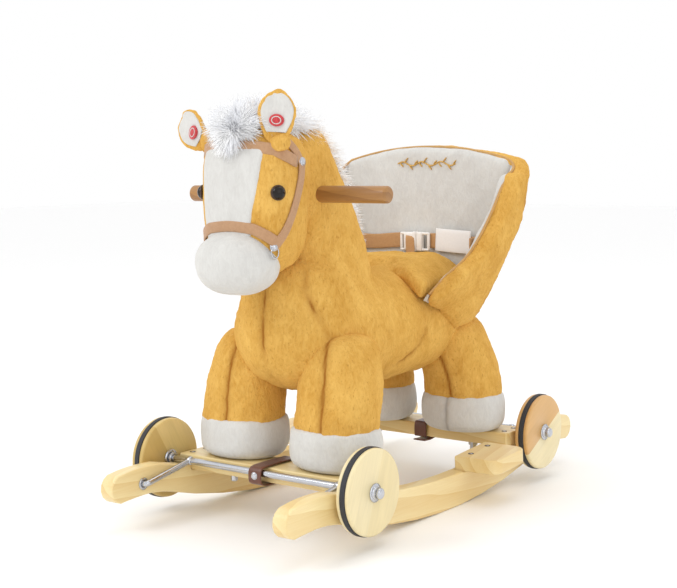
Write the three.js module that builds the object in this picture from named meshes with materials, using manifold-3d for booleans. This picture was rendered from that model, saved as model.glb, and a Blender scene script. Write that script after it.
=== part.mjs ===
// A plush rocking horse with a bucket seat on a wooden rocker that also has four wheels.
// Millimetres. +Z is up, the horse looks along -Y and its left side is +X.
// The origin is on the floor, under the middle of the rocker.
import * as THREE from 'three';
import { mergeVertices } from 'three/addons/utils/BufferGeometryUtils.js';
import Module from 'manifold-3d';

const wasm = await Module();
wasm.setup();

// ---------------------------------------------------------------- driving dimensions

const GAP = 0.3; // between pieces that touch
const PLAY = 0.4; // round a shaft that turns or a pin that swings, on the radius
const ROUND = 20; // sides of a small round piece

const RUNNER = {
  thick: 20,
  outer: 138.5, // outer face, from the middle plane
  height: 41, // at mid length
  rockRadius: 788,
  facets: 9, // of the rocking arc: odd, so that it has a small flat to rest on
  rockReach: 226, // where the rocking arc ends
  topRadius: 985,
  topReach: 238,
  crest: 262,
  crestHeight: 70.5,
  noseReach: 299.5,
  noseLevel: 51,
  noseRadius: 17,
};
const CROSSBAR = { middle: 159, wide: 50, thick: 18, bottom: 52 };
const FOOTREST = { start: 30, end: 104, reach: 186, inset: 6, thick: 18.5, bed: 1, corner: 14 };

const ROD = { radius: 4, overhang: 8 };
const ARM = { radius: 3.5, pivotReach: 267, pivotLevel: 51, pinDepth: 12, clear: 2 };
const AXLE_REACH = 193;
const AXLE_REST = 1; // air between the rod and the top of the runner
const WHEEL = { radius: 49, thick: 18, stand: 6.5, edge: 2.5 }; // stand: clear of the runner's outer face
const TYRE = { wide: 6.5, deep: 3.5, proud: 1 };
const CAP = { wall: 3.3, grip: 0.2, length: 9.5, flange: 1.6, crimp: 1.7, dome: 3.2 }; // grip: round the rod

const STRAP = { wide: 19, thick: 1.8, slack: 0.6, front: -4, rear: 8 };
const BOLT = {
  radius: 3,
  grip: 70,
  washer: 8,
  washerThick: 1.5,
  head: 6.5,
  headThick: 6,
  tail: 15,
  tailRadius: 4.5,
};

const POST = { across: 78, middle: 152, wide: 24, deep: 24 };
const RAIL = { bottom: 170, thick: 18, deep: 14 };
const SEAT_BOARD = { half: 50, front: -150, back: 148.5, thick: 15 };
const NECK_POST = { half: 12, deep: 36, top: 425 };
const BACK_BOARD = { inset: 7, thick: 11, narrow: 44, wide: 96, step: 236, top: 402 };
const HANDLE = { radius: 9.8, half: 147, y: -138, level: 387, round: 3 };
const SOUND_BOX = { half: 22, deep: 15, bottom: 300, height: 36 };

const HOOF = { across: 70, middle: 140, wide: 56, deep: 46, top: 118, sole: 11, seam: 2 };
const SHELL = { wall: 21, bottom: 214, top: 441, crownRadius: 560, front: -90 };
const SHOULDER = { x: 132, drop: 34, radius: 26 }; // where the back's top turns down into its sides
const LINING = { thick: 5, trim: 2.5 };
const SEAT_PAD = { side: 3, front: 6, bottom: 240, top: 300, corner: 26, shoulder: 52 };

const EAR = { tall: 58, wide: 44, thick: 10, across: 51, y: -215, level: 446 };
const BUTTON = { radius: 8.5, thick: 5, travel: 2, level: 24 };
const EYE = { radius: 8.6, proud: 6, shank: 2.5, shankLength: 9, across: 56.2, y: -220.5, level: 391 };
const BAND = { thick: 2.4, wide: 12, reach: 90 };
const BROW = { y: -200, level: 440, slope: 4 };
const NOSE = { y: -215, level: 341, slope: 14 };
const CHEEK = { top: { y: -180, z: 446 }, bottom: { y: -202, z: 334 } };
const BELT = { wide: 20, thick: 2.4, bottom: 305, start: 100, corner: 22, stand: 1 };
const BUCKLE = { x: -4, long: 27, tall: 27, thick: 9, plug: 20, tongueTall: 18, tongueThick: 4, reach: 16 };

// ---------------------------------------------------------------- finishes

function finish(color, roughness, metalness = 0) {
  return new THREE.MeshStandardMaterial({ color, roughness, metalness });
}
const PINE = finish(0xe8d29c, 0.45);
const BEECH = finish(0xb9863f, 0.4);
const BOARD = finish(0xc9a36c, 0.7);
const STEEL = finish(0xc9ccd0, 0.25, 1);
const RUBBER = finish(0x24262b, 0.8);
const LEATHERETTE = finish(0x5d3222, 0.45);
const GOLD_PLUSH = finish(0xdea852, 0.95);
const WHITE_PLUSH = finish(0xe4e2de, 0.95);
const FUR = finish(0xeaeaf0, 1);
const WEBBING = finish(0xc08a58, 0.85);
const TAPE = finish(0xcfa377, 0.6);
const GLASSY = finish(0x0d0c0c, 0.08);
const WHITE_PLASTIC = finish(0xf1efec, 0.4);
const RED_THREAD = finish(0xb8343a, 0.8);
const BLACK_PLASTIC = finish(0x2b2b2d, 0.6);

// ---------------------------------------------------------------- solids

// A closed geometry as a manifold solid, its shared vertices merged and its slivers dropped.
function solid(geometry) {
  const bare = geometry.clone();
  bare.deleteAttribute('normal');
  bare.deleteAttribute('uv');
  const merged = mergeVertices(bare, 1e-4);
  const corners = merged.index.array;
  const kept = [];
  for (let i = 0; i < corners.length; i += 3) {
    const [a, b, c] = corners.slice(i, i + 3);
    if (a !== b && b !== c && c !== a) kept.push(a, b, c);
  }
  return new wasm.Manifold(new wasm.Mesh({
    numProp: 3,
    vertProperties: new Float32Array(merged.attributes.position.array),
    triVerts: new Uint32Array(kept),
  }));
}

function geometryOf(shape) {
  const mesh = shape.getMesh();
  const geometry = new THREE.BufferGeometry();
  geometry.setAttribute('position', new THREE.BufferAttribute(mesh.vertProperties, 3));
  geometry.setIndex(new THREE.BufferAttribute(mesh.triVerts, 1));
  geometry.computeVertexNormals();
  return geometry;
}

function joined(...shapes) {
  return shapes.reduce((whole, shape) => whole.add(shape));
}

function cut(shape, ...tools) {
  return tools.reduce((left, tool) => left.subtract(tool), shape);
}

// A skin over rings with equally many points, anticlockwise seen from the last ring, with flat lids.
function loft(rings) {
  const count = rings[0].length;
  const last = (rings.length - 1) * count;
  const index = [];
  for (let start = 0; start < last; start += count) {
    for (let k = 0; k < count; k += 1) {
      const a = start + k;
      const b = start + ((k + 1) % count);
      index.push(a, b, b + count, a, b + count, a + count);
    }
  }
  for (let k = 1; k + 1 < count; k += 1) {
    index.push(0, k + 1, k, last, last + k, last + k + 1);
  }
  const geometry = new THREE.BufferGeometry().setFromPoints(rings.flat());
  geometry.setIndex(index);
  return solid(geometry);
}

// A stuffed form: rounded sections across a smooth line, each station [x, y, z, half width, half depth].
// power 2 gives ellipses and more gives squarer sections; grow swells the form on every side.
function stuffed(stations, { sides = 24, steps = 12, power = 2, grow = 0 } = {}) {
  const line = new THREE.CatmullRomCurve3(stations.map(([x, y, z]) => new THREE.Vector3(x, y, z)));
  const size = new THREE.CatmullRomCurve3(stations.map(([, , , a, b]) => new THREE.Vector3(a, b, 0)));
  const across = new THREE.Vector3(1, 0, 0);
  const bend = (value) => Math.sign(value) * Math.abs(value) ** (2 / power);
  const rings = [];
  for (let i = 0; i <= steps; i += 1) {
    const tangent = line.getTangent(i / steps);
    const outward = new THREE.Vector3().crossVectors(tangent, across).normalize();
    const end = i === 0 ? -grow : Number(i === steps) * grow;
    const centre = line.getPoint(i / steps).addScaledVector(tangent, end);
    const { x: a, y: b } = size.getPoint(i / steps);
    const ring = [];
    for (let k = 0; k < sides; k += 1) {
      const angle = ((k + 0.5) / sides) * 2 * Math.PI;
      ring.push(centre.clone()
        .addScaledVector(across, (a + grow) * bend(Math.cos(angle)))
        .addScaledVector(outward, (b + grow) * bend(Math.sin(angle))));
    }
    rings.push(ring);
  }
  return loft(rings);
}

// Where the local X, Y and Z of an extruded outline point, by the axis that it is extruded along.
const FACING = {
  x: [[0, 1, 0], [0, 0, 1], [1, 0, 0]],
  y: [[1, 0, 0], [0, 0, 1], [0, -1, 0]],
  z: [[1, 0, 0], [0, 1, 0], [0, 0, 1]],
};

// An outline of [u, v] points extruded to both sides of the middle plane: (y, z) along x,
// (x, z) along y or (x, y) along z.
function plate(outline, thick, axis, hole) {
  const shape = new THREE.Shape(outline.map(([u, v]) => new THREE.Vector2(u, v)));
  if (hole) shape.holes.push(new THREE.Path(hole.map(([u, v]) => new THREE.Vector2(u, v))));
  const geometry = new THREE.ExtrudeGeometry(shape, { depth: thick, bevelEnabled: false });
  geometry.translate(0, 0, -thick / 2);
  const [x, y, z] = FACING[axis].map((direction) => new THREE.Vector3(...direction));
  return solid(geometry.applyMatrix4(new THREE.Matrix4().makeBasis(x, y, z)));
}

function moved(shape, x, y, z) {
  return shape.translate([x, y, z]);
}

function box(x0, x1, y0, y1, z0, z1) {
  const geometry = new THREE.BoxGeometry(x1 - x0, y1 - y0, z1 - z0);
  return solid(geometry.translate((x0 + x1) / 2, (y0 + y1) / 2, (z0 + z1) / 2));
}

// A round bar along an axis, between two places on it.
function bar(radius, axis, from, to, sides = ROUND) {
  const geometry = new THREE.CylinderGeometry(radius, radius, to - from, sides);
  geometry.translate(0, (from + to) / 2, 0);
  if (axis === 'x') geometry.rotateZ(-Math.PI / 2);
  if (axis === 'z') geometry.rotateX(Math.PI / 2);
  return solid(geometry);
}

// A turned piece: a profile of [radius, height] points, closed on itself or on the Z axis.
function turned(profile, sides) {
  const points = profile.map(([radius, height]) => new THREE.Vector2(radius, height));
  return solid(new THREE.LatheGeometry(points, sides).rotateX(Math.PI / 2));
}

function arc(cu, cv, radius, from, to, steps) {
  const points = [];
  for (let i = 0; i <= steps; i += 1) {
    const angle = THREE.MathUtils.degToRad(from + ((to - from) * i) / steps);
    points.push([cu + radius * Math.cos(angle), cv + radius * Math.sin(angle)]);
  }
  return points;
}

// A rectangle with four rounded corners, anticlockwise.
function roundedBox(u0, u1, v0, v1, radius, steps = 3) {
  return [
    ...arc(u1 - radius, v0 + radius, radius, -90, 0, steps),
    ...arc(u1 - radius, v1 - radius, radius, 0, 90, steps),
    ...arc(u0 + radius, v1 - radius, radius, 90, 180, steps),
    ...arc(u0 + radius, v0 + radius, radius, 180, 270, steps),
  ];
}

function smooth(points, steps) {
  const curve = new THREE.SplineCurve(points.map(([u, v]) => new THREE.Vector2(u, v)));
  return curve.getPoints(steps).map(({ x, y }) => [x, y]);
}

// ---------------------------------------------------------------- rocker base

const runnerTop = (y) => RUNNER.height + (y * y) / (2 * RUNNER.topRadius);
const sag = (y) => RUNNER.rockRadius - Math.sqrt(RUNNER.rockRadius ** 2 - y * y);
const rockLine = (y) => sag(y) - sag(RUNNER.rockReach / RUNNER.facets);
const runnerInner = RUNNER.outer - RUNNER.thick;
const wheelInner = RUNNER.outer + WHEEL.stand;
const crossbarTop = CROSSBAR.bottom + CROSSBAR.thick;
const axleLevel = runnerTop(AXLE_REACH) + AXLE_REST + ROD.radius;

function runnerOutline() {
  const steps = RUNNER.facets;
  const { rockReach, topReach, noseReach, noseLevel, noseRadius, crest, crestHeight } = RUNNER;
  const bottom = [];
  for (let i = 0; i <= steps; i += 1) {
    const y = -rockReach + (2 * rockReach * i) / steps;
    bottom.push([y, rockLine(y)]);
  }
  const nose = arc(noseReach, noseLevel, noseRadius, -110, 95, 8);
  const lift = rockLine(rockReach);
  const heel = smooth([
    [rockReach, lift],
    [rockReach + 20, lift + 3.2],
    [crest + 4, lift + 4],
    nose[0],
  ], 6).slice(1, -1);
  const toe = smooth([
    nose[nose.length - 1],
    [(crest + noseReach) / 2 + 4, crestHeight - 0.8],
    [crest, crestHeight],
    [topReach, runnerTop(topReach)],
  ], 6).slice(1);
  const end = [...heel, ...nose, ...toe];
  const top = [];
  for (let i = 1; i < 14; i += 1) {
    const y = topReach - (2 * topReach * i) / 14;
    top.push([y, runnerTop(y)]);
  }
  const mirrored = end.map(([y, z]) => [-y, z]).reverse();
  return [...bottom, ...end, ...top, ...mirrored];
}

function crossbar(end, grow = 0) {
  const { wide, thick, bottom, middle } = CROSSBAR;
  const half = wide / 2 + grow;
  const outline = roundedBox(-half, half, bottom - grow, bottom + thick + grow, 2 + grow);
  return moved(plate(outline, 2 * (RUNNER.outer + grow), 'x'), 0, end * middle, 0);
}

// The footrest lies along the chord of the runner's top between its two ends, sunk into a bed.
const footrestLow = runnerTop(FOOTREST.start) - FOOTREST.bed;
const footrestHigh = runnerTop(FOOTREST.end) - FOOTREST.bed;
const footrestSlope = Math.atan2(footrestHigh - footrestLow, FOOTREST.end - FOOTREST.start);

function footrestOutline(grow = 0) {
  const inner = RUNNER.outer - RUNNER.thick + FOOTREST.inset - grow;
  const half = (FOOTREST.end - FOOTREST.start) / 2 + grow;
  const outer = FOOTREST.reach + grow;
  const round = FOOTREST.corner;
  return [
    [inner, -half],
    ...arc(outer - round, -half + round, round, -90, 0, 5),
    ...arc(outer - round, half - round, round, 0, 90, 5),
    [inner, half],
  ];
}

function footrestSolid(side, grow = 0) {
  const outline = footrestOutline(grow);
  const handed = side > 0 ? outline : outline.map(([x, y]) => [-x, y]).reverse();
  return plate(handed, FOOTREST.thick + 2 * grow, 'z');
}

function footrestPlace() {
  const lift = FOOTREST.thick / 2 / Math.cos(footrestSlope);
  return [0, (FOOTREST.start + FOOTREST.end) / 2, (footrestLow + footrestHigh) / 2 + lift];
}

function runner(side) {
  const middle = side * (RUNNER.outer - RUNNER.thick / 2);
  const plank = moved(plate(runnerOutline(), RUNNER.thick, 'x'), middle, 0, 0);
  const bed = footrestSolid(side, GAP)
    .rotate([THREE.MathUtils.radToDeg(footrestSlope), 0, 0])
    .translate(footrestPlace());
  const pinHole = bar(ARM.radius + PLAY, 'x', runnerInner - 1, runnerInner + ARM.pinDepth + 1, 16);
  const holes = [-1, 1].map((end) => moved(
    side > 0 ? pinHole : pinHole.mirror([1, 0, 0]), 0, end * ARM.pivotReach, ARM.pivotLevel,
  ));
  return cut(plank, bed, crossbar(-1, GAP), crossbar(1, GAP), ...holes);
}

// The steel bail: the axle rod, and two arms that end in pins turned out into the runners.
function bail(end) {
  const reach = wheelInner + WHEEL.thick + ROD.overhang;
  const rod = moved(bar(ROD.radius, 'x', -reach, reach, 12), 0, end * AXLE_REACH, axleLevel);
  const armX = runnerInner - ARM.radius - ARM.clear;
  const round = ARM.radius + ARM.clear;
  const tip = runnerInner + ARM.pinDepth;
  const section = new THREE.Shape().absarc(0, 0, ARM.radius, 0, 2 * Math.PI);
  const arms = [-1, 1].map((side) => {
    const axle = new THREE.Vector3(side * armX, end * AXLE_REACH, axleLevel);
    const knee = new THREE.Vector3(side * armX, end * ARM.pivotReach, ARM.pivotLevel);
    const toward = axle.clone().sub(knee).normalize();
    const path = new THREE.CurvePath();
    const bendStart = knee.clone().addScaledVector(toward, round);
    const bendEnd = new THREE.Vector3(side * (armX + round), end * ARM.pivotReach, ARM.pivotLevel);
    path.add(new THREE.LineCurve3(axle, bendStart));
    path.add(new THREE.QuadraticBezierCurve3(bendStart, knee, bendEnd));
    const pinEnd = new THREE.Vector3(side * tip, end * ARM.pivotReach, ARM.pivotLevel);
    path.add(new THREE.LineCurve3(bendEnd, pinEnd));
    const shape = new THREE.ExtrudeGeometry(section, { extrudePath: path, steps: 12, curveSegments: 4 });
    return solid(shape);
  });
  return joined(rod, ...arms);
}

function wheel() {
  const { radius, thick, edge } = WHEEL;
  const half = thick / 2;
  const bore = ROD.radius + PLAY;
  const groove = radius - TYRE.deep;
  return turned([
    [bore, -half],
    [radius - edge, -half],
    [radius, -half + edge],
    [radius, -TYRE.wide / 2 - GAP],
    [groove, -TYRE.wide / 2 - GAP],
    [groove, TYRE.wide / 2 + GAP],
    [radius, TYRE.wide / 2 + GAP],
    [radius, half - edge],
    [radius - edge, half],
    [bore, half],
    [bore, -half],
  ], 26);
}

function tyre() {
  const inner = WHEEL.radius - TYRE.deep + GAP;
  const outer = WHEEL.radius + TYRE.proud;
  const half = TYRE.wide / 2;
  return turned([
    [inner, -half],
    [outer, -half],
    [outer, half],
    [inner, half],
    [inner, -half],
  ], 26);
}

// A pressed cap that grips the rod's end: a flange, a skirt and a domed crown, hollow from below.
function hubCap() {
  const { wall, grip, length, flange, crimp, dome } = CAP;
  const bore = ROD.radius + grip;
  const radius = bore + wall;
  const inside = length - 1.5;
  return turned([
    [bore, 0],
    [radius, 0],
    [radius, flange],
    [radius - crimp, flange + 0.8],
    [radius - crimp, length - dome],
    [radius - dome, length - 0.9],
    [0, length],
    [0, inside],
    [bore, inside],
    [bore, 0],
  ], 12);
}

// A strap sewn to a loop that holds the rod against the crossbar.
function strap(end) {
  const near = CROSSBAR.middle - CROSSBAR.wide / 2 - STRAP.slack;
  const far = AXLE_REACH + ROD.radius + STRAP.slack;
  const low = CROSSBAR.bottom - STRAP.slack;
  const high = crossbarTop + STRAP.slack;
  const t = STRAP.thick;
  const loop = plate(
    roundedBox(near - t, far + t, low - t, high + t, 4),
    STRAP.wide,
    'x',
    roundedBox(near, far, low, high, 2.4).reverse(),
  );
  return end > 0 ? moved(loop, STRAP.rear, 0, 0) : moved(loop.mirror([0, 1, 0]), STRAP.front, 0, 0);
}

function legBolt() {
  const top = CROSSBAR.bottom + BOLT.grip;
  const under = CROSSBAR.bottom - GAP;
  const { radius, washer, washerThick, head, headThick, tail, tailRadius } = BOLT;
  return turned([
    [0, under - tail],
    [tailRadius - 1.2, under - tail],
    [tailRadius, under - tail + 1.2],
    [tailRadius, under - headThick],
    [head, under - headThick],
    [head, under - washerThick],
    [washer, under - washerThick],
    [washer, under],
    [radius, under],
    [radius, top - 1],
    [0, top],
  ], 12);
}

// ---------------------------------------------------------------- wooden frame inside the plush

const railTop = RAIL.bottom + RAIL.thick;
const seatBoardTop = railTop + GAP + SEAT_BOARD.thick;

function legFrame(end, grow = 0) {
  const y0 = end * POST.middle - POST.deep / 2 - grow;
  const y1 = end * POST.middle + POST.deep / 2 + grow;
  const outer = POST.across + POST.wide / 2 + grow;
  const inner = POST.across - POST.wide / 2 - grow;
  const railDeep = RAIL.deep + 2 * grow;
  const rear = end > 0 ? y0 : y1 - railDeep;
  return joined(
    box(-outer, outer, rear, rear + railDeep, RAIL.bottom - grow, railTop + grow),
    box(-outer, -inner, y0, y1, crossbarTop + GAP - grow, railTop + grow),
    box(inner, outer, y0, y1, crossbarTop + GAP - grow, railTop + grow),
  );
}

function boltHole(side, end) {
  const hole = bar(BOLT.radius + GAP, 'z', CROSSBAR.bottom - 1, CROSSBAR.bottom + BOLT.grip + 2, 12);
  return moved(hole, side * POST.across, end * POST.middle, 0);
}

function seatBoard(grow = 0) {
  const { front, back } = SEAT_BOARD;
  const half = SEAT_BOARD.half + grow;
  return box(-half, half, front - grow, back + grow, railTop + GAP - grow, seatBoardTop + grow);
}

function neckPost(grow = 0) {
  const { deep, top } = NECK_POST;
  const half = NECK_POST.half + grow;
  const bottom = seatBoardTop + GAP - grow;
  const reach = deep / 2 + grow;
  return box(-half, half, HANDLE.y - reach, HANDLE.y + reach, bottom, top + grow);
}

function soundBox(grow = 0) {
  const { deep, bottom, height } = SOUND_BOX;
  const half = SOUND_BOX.half + grow;
  const front = HANDLE.y + NECK_POST.deep / 2 + GAP;
  const top = bottom + height + grow;
  return box(-half, half, front - grow, front + deep + grow, bottom - grow, top);
}

function handleBar(grow = 0) {
  const { radius, half, round, y, level } = HANDLE;
  const r = radius + grow;
  const l = half + grow;
  const profile = [[0, -l], [r - round, -l], [r - 0.9, -l + 0.9], [r, -l + round]];
  const mirrored = profile.map(([a, b]) => [a, -b]).reverse();
  return turned([...profile, ...mirrored], 20).rotate([0, 90, 0]).translate([0, y, level]);
}

// ---------------------------------------------------------------- bucket seat

// Half width, back and rear corner radius of the bucket's outside at a few levels.
const FLARE = [
  { z: 205, half: 101, back: 168, corner: 62 },
  { z: 227, half: 106, back: 170, corner: 60 },
  { z: 262, half: 119, back: 173, corner: 56 },
  { z: 307, half: 137, back: 176, corner: 44 },
  { z: 345, half: 147, back: 179, corner: 33 },
  { z: 399, half: 157, back: 181, corner: 25 },
  { z: 450, half: 160, back: 182, corner: 22 },
];

// Everything inside the bucket's outer face, drawn in by an inset.
function bucket(inset = 0) {
  return loft(FLARE.map(({ z, half, back, corner }) => {
    const a = half - inset;
    const b = back - inset;
    const r = Math.max(corner - inset, 4);
    const plan = [
      [a, SHELL.front],
      ...arc(a - r, b - r, r, 0, 90, 4),
      ...arc(-a + r, b - r, r, 90, 180, 4),
      [-a, SHELL.front],
    ];
    return plan.map(([x, y]) => new THREE.Vector3(x, y, z));
  }));
}

// The wing's edge seen from the side: low along the seat, then steeply up to the back's top.
function wingOutline(shrink = 0) {
  const edge = smooth([
    [14, 257],
    [54, 282],
    [94, 304],
    [122, 344],
    [141, 388],
    [154, SHELL.top],
  ], 9).map(([y, z]) => [y + shrink, z]);
  return [
    ...edge.reverse(),
    [58, 236 + shrink],
    [104, SHELL.bottom + shrink],
    [300, SHELL.bottom + shrink],
    [300, SHELL.top],
  ];
}

// The back seen from the front: a low arch with rounded shoulders.
function crownOutline(shrink = 0) {
  const radius = SHELL.crownRadius - shrink;
  const centre = SHELL.top - SHELL.crownRadius;
  const tilt = THREE.MathUtils.radToDeg(Math.asin((SHOULDER.x - shrink) / radius));
  const crown = arc(0, centre, radius, 90 - tilt, 90 + tilt, 6);
  const [x, z] = crown[0];
  const side = x + SHOULDER.radius;
  const right = smooth([
    [side, SHELL.bottom - 10],
    [side, z - SHOULDER.drop],
    [x + 17, z - 11],
    [x, z],
  ], 6).slice(0, -1);
  const left = right.map(([u, v]) => [-u, v]).reverse();
  return [...right, ...crown, ...left];
}

function seatShell() {
  const wall = cut(bucket(), bucket(SHELL.wall));
  return wall.intersect(plate(wingOutline(), 500, 'x')).intersect(plate(crownOutline(), 800, 'y'));
}

function seatLining() {
  const wall = cut(bucket(SHELL.wall + GAP), bucket(SHELL.wall + GAP + LINING.thick));
  return wall
    .intersect(plate(wingOutline(LINING.trim), 500, 'x'))
    .intersect(plate(crownOutline(LINING.trim), 800, 'y'));
}

function backBoard(grow = 0) {
  const { inset, thick, narrow, wide, step, top } = BACK_BOARD;
  const wall = cut(bucket(inset - grow), bucket(inset + thick + grow));
  const low = railTop + GAP - grow;
  const outline = [
    [narrow + grow, low],
    [narrow + grow, step],
    [wide + grow, step + 42],
    [wide + grow, top - 20],
    [wide - 20, top + grow],
  ];
  const whole = [...outline, ...outline.map(([x, z]) => [-x, z]).reverse()];
  const panel = moved(plate(whole, 200, 'y'), 0, SEAT_BOARD.back + GAP - grow + 100, 0);
  return wall.intersect(panel);
}

// ---------------------------------------------------------------- plush body

const BARREL = [
  [0, -187, 229, 16, 14],
  [0, -181, 229, 38, 34],
  [0, -166, 228, 62, 54],
  [0, -130, 225, 82, 72],
  [0, -70, 221, 89, 76],
  [0, 0, 219, 90, 74],
  [0, 70, 220, 90, 73],
  [0, 120, 218, 86, 67],
  [0, 146, 212, 75, 58],
  [0, 162, 207, 56, 44],
  [0, 170, 205, 22, 18],
];
const NECK = [
  [0, -104, 200, 60, 60],
  [0, -104, 235, 78, 78],
  [0, -100, 268, 75, 84],
  [0, -92, 303, 66, 76],
  [0, -98, 340, 58, 67],
  [0, -119, 378, 56, 66],
  [0, -136, 412, 54, 63],
  [0, -146, 444, 48, 54],
  [0, -150, 458, 34, 38],
  [0, -151, 463, 14, 16],
];
const HEAD = [
  [0, -194, 300, 28, 18],
  [0, -195, 308, 42, 30],
  [0, -195, 326, 53, 39],
  [0, -194, 352, 58, 42],
  [0, -193, 385, 60, 43],
  [0, -192, 425, 59, 42],
  [0, -190, 450, 51, 36],
  [0, -188, 460, 36, 26],
  [0, -187, 464, 20, 14],
];
const MUZZLE = { y: -226, level: 312, wide: 50, deep: 42, tall: 36 };
const LEGS = {
  front: [
    [71, -140, HOOF.top - 10, 53, 44],
    [71, -134, 148, 50, 45],
    [69, -125, 180, 47, 45],
    [66, -117, 205, 43, 43],
    [64, -114, 219, 33, 34],
    [63, -113, 226, 14, 15],
  ],
  rear: [
    [70, 140, HOOF.top - 10, 53, 45],
    [68, 137, 148, 50, 45],
    [62, 129, 180, 47, 45],
    [57, 119, 203, 43, 42],
    [54, 114, 215, 32, 33],
    [53, 113, 221, 13, 14],
  ],
};
const MANE = [
  [0, -233, 462, 10, 9],
  [0, -226, 470, 27, 17],
  [0, -205, 476, 36, 21],
  [0, -168, 477, 37, 21],
  [0, -128, 466, 33, 21],
  [0, -92, 436, 28, 19],
  [0, -64, 396, 25, 18],
  [0, -45, 356, 21, 17],
  [0, -31, 328, 13, 11],
  [0, -27, 320, 5, 5],
];
const TAIL = [
  [0, 172, 287, 7, 7],
  [0, 183, 290, 12, 12],
  [0, 203, 280, 19, 17],
  [0, 214, 248, 23, 19],
  [0, 210, 208, 20, 16],
  [0, 199, 176, 12, 9],
  [0, 195, 167, 4, 3],
];

const barrel = (grow = 0) => stuffed(BARREL, { sides: 18, steps: 11, power: 2.25, grow });
const neck = (grow = 0) => stuffed(NECK, { sides: 16, steps: 8, power: 2.1, grow });
const head = (grow = 0) => stuffed(HEAD, { sides: 16, steps: 7, power: 3.2, grow });

function muzzle(grow = 0) {
  const { y, level, wide, deep, tall } = MUZZLE;
  const ball = new THREE.SphereGeometry(1, 16, 9).rotateX(Math.PI / 2);
  return solid(ball.scale(wide + grow, deep + grow, tall + grow).translate(0, y, level));
}

function sided(stations, side) {
  return stations.map(([x, ...rest]) => [side * x, ...rest]);
}

// A leg ends in a flat seam on top of its hoof.
function leg(kind, side) {
  const below = box(-300, 300, -300, 300, 0, HOOF.top);
  return cut(stuffed(sided(LEGS[kind], side), { sides: 14, steps: 6, power: 2.2 }), below);
}

function hoof(side, end) {
  const { across, middle, wide, deep, top, sole, seam } = HOOF;
  const low = crossbarTop + GAP;
  const level = (z, inset) => [side * across, end * middle, z, wide - inset, deep - inset];
  return stuffed([
    level(low, sole),
    level(low + 4, 4),
    level(low + 14, 0),
    level(top - 12, 0),
    level(top - GAP, seam),
  ], { sides: 14, steps: 4, power: 2.2 });
}

// The pad fills the bucket between its walls; its top falls off towards both sides and the front.
function seatPad() {
  const inset = SHELL.wall + LINING.thick + 2 * GAP;
  const { side, front, bottom, top, corner, shoulder } = SEAT_PAD;
  const half = flareAt(top).half - inset - side;
  const slab = plate(roundedBox(front, 200, bottom - shoulder, top, corner, 5), 400, 'x');
  const crown = plate(roundedBox(-half, half, bottom - shoulder, top, shoulder, 6), 400, 'y');
  return cut(bucket(inset + side).intersect(slab).intersect(crown), box(-200, 200, -200, 200, 0, bottom));
}

// ---------------------------------------------------------------- head trim

function earOutline(grow) {
  const tall = EAR.tall + grow;
  const wide = EAR.wide + 2 * grow;
  const half = smooth([
    [wide * 0.2, -grow],
    [wide * 0.4, tall * 0.16],
    [wide * 0.5, tall * 0.45],
    [wide * 0.4, tall * 0.74],
    [0, tall],
  ], 9);
  return [...half, ...half.slice(0, -1).map(([x, z]) => [-x, z]).reverse()];
}

// The ear stands on its base at the local origin and faces -Y.
function earLeaf(grow = 0) {
  return plate(earOutline(grow), EAR.thick + 2 * grow, 'y');
}

// The leaf with a pocket for its button.
function ear() {
  const depth = BUTTON.thick + BUTTON.travel + GAP;
  const pocket = bar(BUTTON.radius + PLAY, 'y', -EAR.thick / 2 - 1, -EAR.thick / 2 + depth - 1, 20);
  return cut(earLeaf(), moved(pocket, 0, 0, BUTTON.level));
}

function earButton() {
  const face = -EAR.thick / 2 - 1;
  const { radius, thick } = BUTTON;
  return turned([
    [0, 0],
    [radius, 0],
    [radius, thick - 1],
    [radius - 1.4, thick],
    [0, thick + 0.5],
  ], 14).rotate([90, 0, 0]).translate([0, face + thick, BUTTON.level]);
}

// The left ear stands up and the right one flops outwards, in degrees about Y and then Z.
const EAR_POSE = { 1: { tilt: 4, turn: 24 }, [-1]: { tilt: 56, turn: -10 } };

function onHead(shape, side) {
  const { tilt, turn } = EAR_POSE[side];
  return shape.rotate([0, side * tilt, turn]).translate([side * EAR.across, EAR.y, EAR.level]);
}

// A safety eye: a dome with a shank that goes into the head along the local -Z.
function eye(grow = 0) {
  const { radius, proud, shank, shankLength } = EYE;
  const dome = arc(0, 0, 1, 0, 90, 3).map(([u, v]) => [(radius + grow) * u, (proud + grow) * v]);
  return turned([
    [0, -shankLength - grow],
    [shank + grow, -shankLength - grow],
    [shank + grow, -1.5 - grow],
    [radius + grow, -1.5 - grow],
    ...dome.slice(0, -1),
    [0, proud + grow],
  ], 12);
}

function eyePlaced(side, grow = 0) {
  return eye(grow).rotate([90, 0, side * 62]).translate([side * EYE.across, EYE.y, EYE.level]);
}

// A head harness: brow band, nose band and cheek straps, each a strip of one skin round the head.
function bridle() {
  const skin = cut(head(GAP + BAND.thick), head(GAP));
  const { reach } = BAND;
  const half = BAND.wide / 2;
  const slab = box(-reach, reach, -reach, reach, -half, half);
  const band = ({ y, level, slope }) => moved(slab.rotate([slope, 0, 0]), 0, y, level);
  const brow = band(BROW);
  const nose = band(NOSE);
  const { top, bottom } = CHEEK;
  const cheek = plate([
    [top.y + half, top.z],
    [top.y - half, top.z],
    [bottom.y - half, bottom.z],
    [bottom.y + half, bottom.z],
  ], 2 * reach, 'x');
  return skin.intersect(joined(brow, nose, cheek));
}

// ---------------------------------------------------------------- harness belt

const beltInset = SHELL.wall + LINING.thick + 2 * GAP + BELT.stand;

// Half width and back of the bucket's outside at a level, between its stations.
function flareAt(level) {
  const above = FLARE.findIndex(({ z }) => z > level);
  const [low, high] = [FLARE[above - 1], FLARE[above]];
  const share = (level - low.z) / (high.z - low.z);
  const between = (key) => THREE.MathUtils.lerp(low[key], high[key], share);
  return { half: between('half'), back: between('back') };
}

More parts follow.
